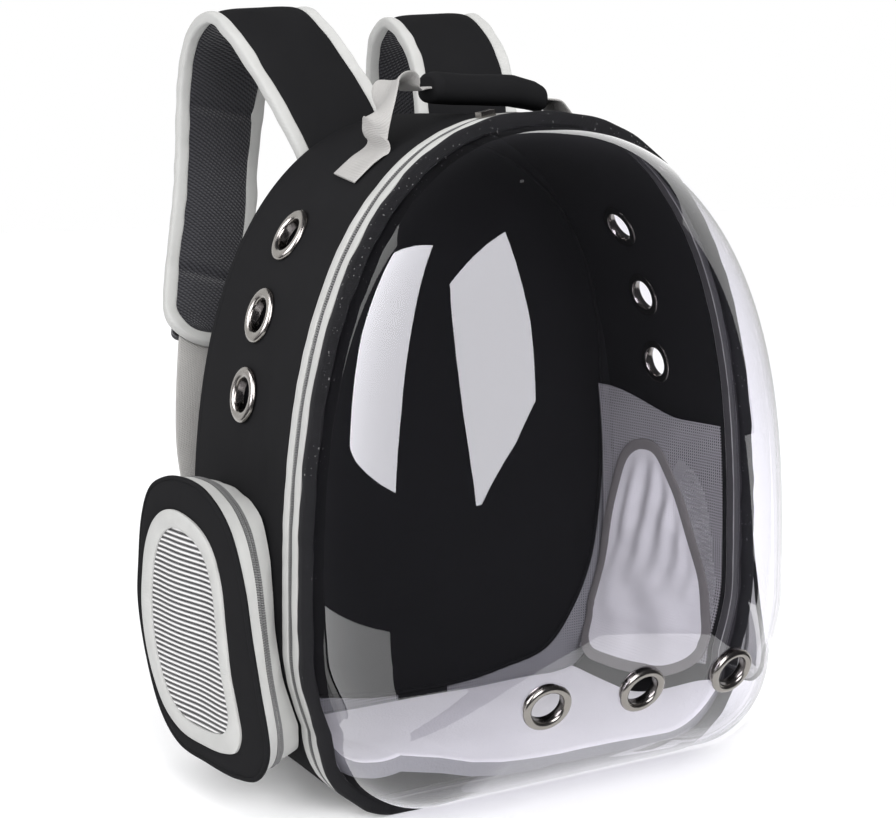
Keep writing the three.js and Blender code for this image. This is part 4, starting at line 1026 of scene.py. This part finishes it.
def net_ring(from_by, to_by, cols, low, high):
    """A tape round the window, from one distance outside its loop to another."""
    by = np.linspace(from_by, to_by, cols)[None, :, None]
    flat = window_loop[:, None] + window_out[:, None] * by
    lift = high - 0.4 * (np.linspace(-1, 1, cols)[None] ** 4)
    near = net_place(flat[..., 0], flat[..., 1], low)
    far = net_place(flat[..., 0], flat[..., 1], lift)
    return two_skins(far, near, True)


def net_window():
    """Rings from the loop to the middle, with pleats that fan down from the window's top."""
    share = np.linspace(0, 1, 34)[None, :, None]
    middle = window_loop.mean(0)
    flat = middle + (window_loop - middle)[:, None] * (1 - share * 0.996)
    y, z = flat[..., 0], flat[..., 1]
    pull = ease((z - 70) / 70) * ease(share[..., 0] * 4)
    pleat = np.sin((y - 0.28 * (190 - z)) / 3.3) * 1.3 * pull
    pleat = pleat + folds(y, z, 45, 43) * 0.8 * ease(share[..., 0] * 3)
    return two_skins(net_place(y, z, 1.6 + pleat), net_place(y, z, 1.2 + pleat), True)


share = np.linspace(0, 1, 110)[None]
y = NET_FRONT + NET_DEEP * share
low = 44 - 25 * ease(share * 1.7)
high = 211 + 17 * ease((y + 20) / 80)
z = low + (high - low) * np.linspace(0, 1, 150)[:, None]
y = y + 0 * z
middle_y, middle_z = (y[1:, 1:] + y[:-1, :-1]) / 2, (z[1:, 1:] + z[:-1, :-1]) / 2
keep = ~inside_loop(middle_y, middle_z, window_loop[:, 0], window_loop[:, 1])
net_sheet = two_skins(net_place(y, z, 0.45), net_place(y, z, 0.0), keep=keep)
for side in ("left", "right"):
    part = mirror_part(flat_cloth(net_sheet, [1, 2]), side)
    sheet = build(f"net_{side}", part, [pale_net], [f"inner_net_{side}"])
    print("net", round(skin_area(part), 5), "m2")
    edge = build(f"net_window_edge_{side}", mirror_part(net_ring(-1.2, 7.0, 8, 0.6, 1.9), side),
                 [seam_tape], sharp=60)
    part = mirror_part(flat_cloth(net_window(), [1, 2]), side)
    pane = build(f"net_window_{side}", part, [window_weave], sharp=60)
    print("window", round(skin_area(part), 5), "m2")

# %% [markdown]
# ## Side pockets
# Each pocket is a bag with a flat face: a gusset of light tape that a zip runs round, and a black
# face with a light trim round a mesh window. The gusset is the surface between its two loops.

# %% Pocket shapes
POCKET_COUNT = 240
POCKET_DEEP, POCKET_FLARE = 17, 22


def face_x(y):
    """The face's plane stands out further at the back."""
    return HALF + POCKET_DEEP + POCKET_FLARE * (y - RIM_Y - 5) / 147


def seam_x(z):
    line, _ = outline(1600)
    return np.interp(z, line[:800, 2], line[:800, 0])


y, z = pocket_line("base", POCKET_COUNT)
base_loop = np.stack([seam_x(z) + 1.2, y, z], axis=1)
y, z = pocket_line("face", POCKET_COUNT)
face_loop = np.stack([face_x(y), y, z], axis=1)
gusset_walk = travelled(face_loop[:, None], 0)[:-1]


def gusset(from_share, to_share, rows, bulge=1.2, ruffle=0.35, seed=51):
    """Part of the gusset as a thin closed band: straight lines from seam to face, blown out a
    little in the middle and ruffled along the loop."""
    middle = face_loop.mean(0)
    share = np.linspace(from_share, to_share, rows)[None, :, None]
    skin = base_loop[:, None] * (1 - share) + face_loop[:, None] * share
    out = skin - middle
    out[..., 0] = 0
    out = unit(out)
    puff = bulge * np.sin(np.pi * share[..., 0]) + ruffle * folds(
        gusset_walk[:, None], share[..., 0] * 40, 26, seed)
    outer = skin + out * puff[..., None]
    inner = outer - out * 1.4
    edge = np.concatenate([outer, inner[:, ::-1]], axis=1)
    return weave_grid(edge, wrap_rows=True, wrap_cols=True)


def ring_face(outer_name, inner_name, from_x, to_x, cols, crown=0.8, grow=(0.0, 0.0), ruffle=0.2):
    """A flat cloth ring in the face's plane between two loops, its surface crowned."""
    loops = []
    for which, by in ((outer_name, grow[0]), (inner_name, grow[1])):
        y, z = pocket_line(which, POCKET_COUNT, by)
        loops.append(np.stack([face_x(y), y, z], axis=1))
    share = np.linspace(0, 1, cols)[None, :, None]
    skin = loops[0][:, None] * (1 - share) + loops[1][:, None] * share
    rise = to_x + crown * (np.sin(np.pi * share[..., 0]) ** 0.6 - 1)
    rise = rise + ruffle * folds(gusset_walk[:, None], share[..., 0] * 30, 30, 61) * np.sin(
        np.pi * share[..., 0])
    front, back = skin.copy(), skin.copy()
    front[..., 0] += rise
    back[..., 0] += from_x
    edge = np.concatenate([front, back[:, ::-1]], axis=1)
    return weave_grid(edge, wrap_rows=True, wrap_cols=True)


def window_sheet(x_from, grow=-0.2):
    """The window's mesh: rings that shrink to the middle, flattened to a thin sheet whose cloth
    map is its height and depth, so that the ribs run level."""
    y, z = pocket_line("window", POCKET_COUNT, grow)
    loop = np.stack([face_x(y), y, z], axis=1)
    share = np.linspace(0, 1, 26)[None, :, None]
    skin = loop.mean(0) + (loop[:, None] - loop.mean(0)) * (1 - share * 0.996)
    wrinkle = folds(skin[..., 1], skin[..., 2] * 0.4, 50, 71) * 1.1 * np.sin(
        np.clip(share[..., 0] * 3, 0, 1) * np.pi / 2)
    front, back = skin.copy(), skin.copy()
    front[..., 0] += x_from + wrinkle
    back[..., 0] += x_from + wrinkle - 0.4
    return flat_cloth(two_skins(front, back, True), [1, 2])


# %% Pockets
for side in ("left", "right"):
    made = [
        build(f"pocket_gusset_{side}", mirror_part(gusset(0.0, 0.42, 14), side), [grey_tape],
              [f"pocket_band_inner_{side}"]),
        build(f"pocket_rand_{side}", mirror_part(gusset(0.645, 0.985, 12, seed=52), side), [grey_tape],
              [f"pocket_band_outer_{side}"])]
    zip_band = gusset(0.425, 0.64, 9, 0.4, 0.15, 53)
    lines = []
    for share in (0.475, 0.59):
        loop = base_loop * (1 - share) + face_loop * share
        out = loop - face_loop.mean(0)
        out[:, 0] = 0
        lines.append(teeth(loop + unit(out) * 1.0, unit(out), None, 2.2, 1.5, 0.9))
    zip_part = joined(zip_band, *lines)
    build(f"pocket_zip_{side}", mirror_part(zip_part, side), [grey_tape, coil_plastic],
          [f"pocket_zip_{side}"], 30, marks=marked(zip_part, range(1, 1 + len(lines))))
    edge = face_loop.copy()
    edge[:, 0] += 1.4
    face = joined(ring_face("face", "trim", 0.2, 3.6, 18, 1.4, (-1.0, -0.3)), cordon(edge, 1.7))
    build(f"pocket_front_{side}", mirror_part(face, side), [black_cloth], [f"pocket_face_{side}"],
          60)
    trim = ring_face("trim", "window", 1.0, 4.6, 12, 0.9, (0.0, 0.0), 0.25)
    build(f"pocket_edge_{side}", mirror_part(trim, side), [grey_tape], [f"pocket_trim_{side}"],
          60)
    sheet = build(f"pocket_window_{side}", mirror_part(window_sheet(2.6), side), [pocket_weave],
                  [f"pocket_mesh_{side}"], 60)

# %% [markdown]
# ## Shoulder straps
# A strap is a foam pad with plain cloth outside and spacer mesh inside, and a light binding sewn
# round its edge. All of its pieces are drawn in the strap's own directions: along, across, out.

# %% Strap line
STRAP_ROWS = np.array([
    (0.35, 0.0, 0.706, 0.92), (0.35, 0.0, 0.754, 0.97), (0.36, 0.015, 0.803, 1.0),
    (0.41, 0.11, 0.859, 1.0), (0.48, 0.25, 0.918, 1.0), (0.52, 0.44, 0.969, 1.0),
    (0.54, 0.67, 1.0, 1.01), (0.57, 0.88, 0.971, 0.95), (0.6, 0.99, 0.9, 0.86),
    (0.66, 0.95, 0.808, 0.81), (0.74, 0.83, 0.726, 0.8), (0.86, 0.67, 0.644, 0.79),
    (0.97, 0.5, 0.573, 0.77), (1.02, 0.425, 0.541, 0.76)])
STRAP_WIDTH, STRAP_THICK, STRAP_EDGE, STRAP_END = 76.0, 10.0, 8.0, 26.0
STRAP_LEAN = {"left": -5.0, "right": 4.0}

line = spline(STRAP_ROWS[:, :3] * np.array([128, 147, 489]) + np.array([0, 85.8, 0]), 900)
strap_travel = travelled(line[:, None], 0)[:-1]
STRAP_LENGTH = strap_travel[-1]
strap_along = unit(np.gradient(line, axis=0))
print("strap length", round(float(STRAP_LENGTH)), "mm")


def strap_axes(length, lean):
    """At lengths along the strap: its middle, the way across, and the way out of its outer face."""
    middle = np.stack([np.interp(length, strap_travel, line[:, k]) for k in range(3)], axis=-1)
    along = unit(np.stack([np.interp(length, strap_travel, strap_along[:, k]) for k in range(3)], axis=-1))
    across = np.array([1.0, 0, 0]) - along * along[..., :1]
    across = unit(across)
    turn = -np.radians(lean) * np.sin(np.pi * np.clip(length / STRAP_LENGTH, 0, 1))[..., None]
    across = across * np.cos(turn) + np.cross(along, across) * np.sin(turn)
    return middle, across, np.cross(across, along)


def strap_place(length, side, height, lean):
    middle, across, out = strap_axes(length, lean)
    beyond = np.maximum(length - STRAP_LENGTH, 0)[..., None] * strap_along[-1]
    return middle + beyond + across * side[..., None] + out * height[..., None]


def strap_half(length):
    rows = np.linspace(0, STRAP_LENGTH, len(STRAP_ROWS))
    return np.interp(length, rows, STRAP_ROWS[:, 3]) * STRAP_WIDTH / 2


# %% Strap pads and bindings


def end_round(length, inset):
    """Half width at a length: full along the strap, then the round of its lower end."""
    straight = STRAP_LENGTH - STRAP_END
    past = np.clip((length - straight) / (STRAP_END - inset), 0, 1)
    return (strap_half(length) - inset) * np.sqrt(np.maximum(1 - past**2, 0.0004))


def strap_pad(lean):
    """Stations along the strap; each ring is a flat oval, crowned, with two sewn channels."""
    inset = STRAP_EDGE - 1.5
    travel = np.concatenate([np.linspace(0, STRAP_LENGTH - STRAP_END, 150, endpoint=False),
                             STRAP_LENGTH - inset - (STRAP_END - inset) * (1 - np.sin(
                                 np.linspace(0, np.pi / 2 * 0.99, 26)))])
    turn = np.linspace(0, 2 * np.pi, 56, endpoint=False)
    side = squared(np.cos(turn), 0.55)
    rise = squared(np.sin(turn), 0.75)
    half = end_round(travel, inset)[:, None]
    across = half * side[None]
    pinch = 1 - 0.55 * (np.exp(-((travel - 0.60 * STRAP_LENGTH) / 3.5) ** 2)
                        + np.exp(-((travel - 0.885 * STRAP_LENGTH) / 3.5) ** 2))[:, None]
    soft = 1 + 0.10 * folds(travel[:, None], across, 46, 81)
    edge = np.minimum(1, 0.5 + 0.5 * half / 12)
    height = (STRAP_THICK / 2 + 0.3) * rise[None] * soft * edge
    height = np.where(rise[None] < 0, height * pinch, height)
    grid = strap_place(travel[:, None] + 0 * across, across, height, lean)
    part = tube(grid)
    inner_side = np.tile((rise + np.roll(rise, -1)) < 0, len(travel) - 1)
    return part, np.concatenate([inner_side, np.zeros(2 * len(turn), bool)])


def strap_edge(lean):
    """The binding follows the strap's edge: a flat oval whose long way points in from the edge."""
    straight = STRAP_LENGTH - STRAP_END
    run = np.linspace(0, straight, 170)
    bend = np.linspace(0, np.pi, 46)[1:-1]
    mid = STRAP_EDGE / 2
    length = np.concatenate([run, straight + (STRAP_END - mid) * np.sin(bend), run[::-1]])
    half = strap_half(length) - mid
    side = np.concatenate([half[:170], half[170:-170] * np.cos(bend), -half[-170:]])
    walk = np.cumsum(np.hypot(np.gradient(length), np.gradient(side)))
    ahead = np.stack([np.gradient(length), np.gradient(side)], axis=1)
    ahead /= np.linalg.norm(ahead, axis=1, keepdims=True)
    inward = np.stack([-ahead[:, 1], ahead[:, 0]], axis=1)
    turn = np.linspace(0, 2 * np.pi, 22, endpoint=False)
    wide = squared(np.cos(turn), 0.6) * (mid + 0.6)
    tall = squared(np.sin(turn), 0.5)
    ruffle = folds(walk[:, None], wide[None], 24, 91)
    reach = wide[None] * (1 + 0.08 * ruffle)
    height = tall[None] * (4.0 + 0.09 * reach + 0.25 * ruffle)
    grid = strap_place(length[:, None] + inward[:, :1] * reach, side[:, None] + inward[:, 1:] * reach,
                       height, lean)
    return tube(grid)


for side in ("left", "right"):
    part, marks = strap_pad(STRAP_LEAN[side])
    pad = build(f"strap_{side}", mirror_part(part, side), [black_cloth, strap_mesh],
                [f"strap_pad_{side}"], 60, marks=marks)
    build(f"strap_edge_{side}", mirror_part(strap_edge(STRAP_LEAN[side]), side), [grey_tape],
          [f"strap_binding_{side}"], 60)

# %% [markdown]
# Webbing is laced through a ladder buckle at the foot of each strap and drops behind the panel to
# the lower corner. It is a ribbon: a middle line, the way across at each point, and a thickness.

# %% Webbing and buckles
WEB_WIDE, WEB_THICK, BAR, SLOT, BUCKLE_THICK = 30.0, 1.6, 4.0, 6.0, 3.4
BUCKLE_TALL = 3 * BAR + 2 * SLOT
BUCKLE_AT = STRAP_LENGTH - BUCKLE_TALL / 2 - BAR
WEB_SEAT = STRAP_THICK / 2 + 0.3 + WEB_THICK / 2 + 0.4
BUCKLE_SEAT = WEB_SEAT + WEB_THICK / 2 + 0.3
ANCHOR = (138.0, 50.0)
HANG_ROWS = [(0.3, 0.6, 1.05), (0.5, 0.3, 1.06), (0.68, 0.1, 1.05), (0.82, 0.0, 1.03), (1.0, 0.0, 1.0)]


def ribbon(middle, across, half, thick, cols=9):
    """A ribbon with round edges: across its width run a row of points out and a row back."""
    along = unit(np.gradient(middle, axis=0))
    across = unit(across - along * np.einsum("ij,ij->i", across, along)[:, None])
    out = np.cross(across, along)
    turn = np.linspace(0, 2 * np.pi, 2 * cols, endpoint=False)
    wide = squared(np.cos(turn), 0.45)
    tall = squared(np.sin(turn), 0.6)
    half = np.asarray(half, float)
    half = half[:, None] if half.ndim else half
    grid = (middle[:, None] + across[:, None] * (half * wide[None] + 0 * middle[:, :1])[..., None]
            + out[:, None] * (tall * thick / 2)[None, :, None])
    return tube(grid)


def strap_web(lean):
    """The lacing rows sit on the strap and over the middle bar; the hanging rows follow."""
    middle, across, out = (v[0] for v in strap_axes(np.array([BUCKLE_AT]), lean))
    along = np.cross(out, across)
    pitch, over = BAR + SLOT, BUCKLE_SEAT + BUCKLE_THICK + 0.3 + WEB_THICK / 2
    lacing = [(-2.0 * pitch, WEB_SEAT), (1 - pitch + BAR / 2, WEB_SEAT), (-BAR * 0.65, over),
              (BAR * 0.65, over), (pitch - BAR / 2 - 1, WEB_SEAT), (1.7 * pitch, WEB_SEAT)]
    places = [middle + along * a + out * o for a, o in lacing]
    last, seated = places[-1], BACK_Y + 0.3 + WEB_THICK / 2
    for down, back, wide in HANG_ROWS:
        places.append(np.array([ANCHOR[0] * wide, seated + (last[1] - seated) * back,
                                last[2] - (last[2] - ANCHOR[1]) * down]))
    share = np.clip((np.arange(len(places)) - len(lacing)) / 2, 0, 1)[:, None]
    wings = across * (1 - share) + np.array([1.0, 0, 0]) * share
    both = spline(np.hstack([np.array(places), wings * 1e-3]), 160)
    return ribbon(both[:, :3], both[:, 3:] * 1e3, WEB_WIDE / 2, WEB_THICK)


def ladder(lean):
    """Buckle: a round-cornered frame and a middle bar, both as thick round rods."""
    middle, across, out = (v[0] for v in strap_axes(np.array([BUCKLE_AT]), lean))
    along = np.cross(out, across)
    middle = middle + out * (BUCKLE_SEAT + BUCKLE_THICK / 2)
    wide, tall = WEB_WIDE / 2 + 3.0, BUCKLE_TALL / 2 - BAR / 2
    corner = rounded(-wide, wide, -tall, tall, 3.0, 6)
    path = evenly(np.hstack([corner, np.zeros((len(corner), 1))]), 90, closed=True)
    ahead = unit(np.roll(path, -1, 0) - np.roll(path, 1, 0))
    side = np.cross(ahead, np.array([0, 0, 1.0]))
    turn = np.linspace(0, 2 * np.pi, 12, endpoint=False)
    wide_of = squared(np.cos(turn), 0.7) * BAR / 2
    tall_of = squared(np.sin(turn), 0.7) * BUCKLE_THICK / 2
    local = path[:, None] + side[:, None] * wide_of[None, :, None]
    local = local + np.array([0, 0, 1.0]) * tall_of[None, :, None]
    axes = np.stack([across, along, out])
    frame_part = weave_grid(middle + local @ axes, wrap_rows=True, wrap_cols=True)
    bar_line = np.linspace(-wide, wide, 12)
    bar = np.stack([bar_line[:, None] + 0 * turn, 0 * bar_line[:, None] + wide_of[None],
                    0 * bar_line[:, None] + tall_of[None] * 0.8], axis=2)
    return joined(frame_part, tube(middle + bar @ axes))


for side in ("left", "right"):
    lean = STRAP_LEAN[side]
    build(f"webbing_{side}", mirror_part(strap_web(lean), side), [grey_webbing],
          [f"strap_webbing_{side}"], 60)
    build(f"buckle_{side}", mirror_part(ladder(lean), side), [black_plastic],
          [f"strap_buckle_{side}"], 60)

# %% [markdown]
# ## Carrying handle
# The handle is one webbing that is sewn down at both ends. A padded sleeve is wrapped round its
# middle, and its left end has slipped into a twist.

# %% Handle
HANDLE_Y, HANDLE_SPREAD, HANDLE_WIDE, SLEEVE_LIFT = -5.0, 102.0, 38.0, 14.0
LEFT_ROWS = [(0.98, 0, 0, 0.24, -0.74, 0.03), (0.88, 0, 0, 0.17, -0.8, 0.04),
             (0.78, 0.06, 0.06, 0.08, -0.87, 0.03), (0.76, 0.78, 0.6, -0.08, -0.82, 0.0),
             (0.73, 1.36, 0.9, -0.3, -0.79, -0.04), (0.62, 1.42, 1.72, 0.06, -0.79, 0.1),
             (0.51, 1.86, 2.0, 0.36, -0.58, 0.02), (0.43, 1.35, 1.35, 0.34, -0.36, 0.0)]
RIGHT_ROWS = [(0.98, 0, 0, 0.4, -0.58, 0), (0.85, 0, 0, 0.4, -0.56, 0), (0.73, 0, 0, 0.4, -0.52, 0),
              (0.62, 0.25, 0.25, 0.4, -0.46, 0), (0.53, 0.72, 0.72, 0.39, -0.42, 0),
              (0.47, 0.98, 0.98, 0.38, -0.38, 0)]
SLEEVE_X, SLEEVE_Z, SLEEVE_HALF, SLEEVE_RISE = 3.5, 434, 42, 16
SLEEVE_ROWS = np.array([(-1, 0.06, 0.86, 0.84), (-0.88, 0.08, 0.98, 0.96), (-0.5, 0.04, 1, 1),
                        (0, 0.02, 1, 1), (0.45, 0, 1, 1), (0.8, -0.16, 0.94, 0.96),
                        (0.94, -0.28, 0.86, 0.86), (1, -0.32, 0.7, 0.74)])


def arch_place(x, lift):
    """Above the arch at a distance to one side, lifted along the way out."""
    ring, way = outline(4000)
    right = slice(1000, 2001)
    order = np.argsort(ring[right, 0])
    z = np.interp(abs(x), ring[right, 0][order], ring[right, 2][order])
    nx = np.interp(abs(x), ring[right, 0][order], way[right, 0][order])
    nz = np.interp(abs(x), ring[right, 0][order], way[right, 2][order])
    return abs(x) + nx * lift, z + nz * lift


def handle_edges(rows, sign):
    edges = []
    for along, rear_lift, front_lift, rear, front, slant in rows:
        pair = []
        for lift, across, lean in ((rear_lift, rear, -slant / 2), (front_lift, front, slant / 2)):
            x, z = arch_place((along + lean) * HANDLE_SPREAD, 1.8 + lift * SLEEVE_LIFT)
            pair.append((sign * x, HANDLE_Y + across * HANDLE_WIDE, z))
        edges.append(pair)
    return edges


core = [[(SLEEVE_X + a * 1.06 * SLEEVE_HALF, HANDLE_Y + way * 7.5, SLEEVE_Z + up * SLEEVE_RISE)
         for way in (1, -1)]
        for a, up, _, _ in SLEEVE_ROWS]
pairs = np.array(handle_edges(LEFT_ROWS, -1) + core + handle_edges(RIGHT_ROWS, 1)[::-1])
both = spline(pairs.reshape(len(pairs), 6), 260)
rear, front = both[:, :3], both[:, 3:]
middle = (rear + front) / 2
web = ribbon(middle, rear - front, np.linalg.norm(rear - front, axis=1) / 2, 1.8)
build("handle_web", web, [grey_webbing], ["handle_webbing"], 60)

turn = np.linspace(0, 2 * np.pi, 48, endpoint=False)
rows = np.stack([np.interp(np.linspace(-1, 1, 90), SLEEVE_ROWS[:, 0], SLEEVE_ROWS[:, k])
                 for k in range(4)], 1)
walk = rows[:, 0] * SLEEVE_HALF
crease = folds(walk[:, None], turn[None] * 9, 30, 101) * 0.5
end = np.minimum(1, (1.03 - np.abs(rows[:, 0])) / 0.06)[:, None] ** 0.35
grid = np.stack([
    SLEEVE_X + walk[:, None] + 0 * turn[None],
    HANDLE_Y + (squared(np.cos(turn), 0.8)[None] * (rows[:, 3:] * 15.5 + crease) * end),
    SLEEVE_Z + rows[:, 1:2] * SLEEVE_RISE
    + (squared(np.sin(turn), 0.8)[None] * (rows[:, 2:3] * 10 + crease * 0.6) * end)], axis=2)
sleeve = build("sleeve", tube(grid), [black_cloth], ["handle_sleeve"], 60)

# %% [markdown]
# ## Small pieces and the floor
# The slider and the tabs keep their solid shapes and only get a finish.

# %% Small pieces
kept = {"zip_slider": nickel, "pocket_tab_left": binding_cloth, "pocket_tab_right": binding_cloth}
for name, material in kept.items():
    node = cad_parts[name]
    node.data.materials.clear()
    node.data.materials.append(material)

# %% [markdown]
# ## What the dome mirrors
# A clear dome shows the studio: two tall soft boxes at the left, a dark room in front with a dark
# carpet on its floor, and the white wall behind. They are seen only by mirrored light.

# %% Floor and studio
STUDIO_MIDDLE, BOX_DISTANCE, ROOM_DISTANCE = np.array([0, -0.1, 0.27]), 2.2, 2.6
BOXES = {
    "side": [(-138, 32), (-108, 46), (-94.5, 25), (-88.5, 8), (-86, -4), (-117, -1.5), (-122.5, -0.5),
             (-132.5, 15)],
    "front": [(-77, 39), (-44, 61), (-28, 44), (-19.5, 27), (-15.5, 8), (-23, 1), (-39, -8), (-51, 8),
              (-68, 30)]}


def towards(azimuth, elevation):
    """Unit ways at an azimuth turned from the front to the right, and an elevation."""
    a, e = np.radians(azimuth), np.radians(elevation)
    return np.stack([np.sin(a) * np.cos(e), -np.cos(a) * np.cos(e), np.sin(e)], axis=-1)


def glow(name, color, strength):
    finish = Finish(name, (0, 0, 0), 1.0, Specular_IOR_Level=0.0, Emission_Strength=strength)
    finish.set("Emission Color", (*color, 1.0))
    return finish.material


def staged(name, points, faces, material, mirrored_only=True):
    """A face of the studio. One that is only mirrored is left out of sight and of the shadows."""
    mesh = bpy.data.meshes.new(name)
    mesh.from_pydata(np.asarray(points).tolist(), [], faces)
    mesh.materials.append(material)
    thing = bpy.data.objects.new(name, mesh)
    bpy.context.collection.objects.link(thing)
    if mirrored_only:
        thing.visible_camera = thing.visible_diffuse = thing.visible_shadow = False
        thing.visible_transmission = False


box_glow = glow("soft box", (0.95, 0.94, 1.0), 8.0)
for name, ways in BOXES.items():
    corners = STUDIO_MIDDLE + BOX_DISTANCE * towards(*np.array(ways, float).T)
    staged(f"box_{name}", corners, [list(range(len(corners)))], box_glow)

room_glow = glow("dark room", (0.5, 0.5, 0.55), 0.12)
azimuth, elevation = np.meshgrid(np.linspace(-180, 180, 73), np.linspace(-8, 89, 29), indexing="ij")
walls = (azimuth[:-1, :-1] > -142) & (azimuth[:-1, :-1] < 80) | (elevation[:-1, :-1] > 33)
dark = weave_grid(STUDIO_MIDDLE + ROOM_DISTANCE * towards(azimuth, elevation), keep=walls)
staged("dark_room", dark["points"], dark["faces"][0].tolist(), room_glow)

sweep = np.linspace(-142, 72, 60)[:, None]
inner_edge = np.interp(sweep, [-142, -84, -77, 72], [0.66, 0.62, 0.26, 0.25])
spread = inner_edge + (ROOM_DISTANCE - inner_edge) * np.linspace(0, 1, 6)[None]
card = towards(sweep + 0 * spread, 0 * spread) * spread[..., None] + np.array([0, -0.1, 0.0006])
dark = weave_grid(card)
staged("dark_carpet", dark["points"], dark["faces"][0].tolist(), room_glow)

ground = Finish("pale floor", (0.90, 0.90, 0.91), 0.8, Specular_IOR_Level=0.1, Emission_Strength=0.12)
ground.set("Emission Color", (1.0, 1.0, 1.0, 1.0))
ground.bump(ground.noise(4) * 0.05, 0.2)
staged("floor", [(-6, -6, 0), (6, -6, 0), (6, 6, 0), (-6, 6, 0)], [(0, 1, 2, 3)], ground.material, False)
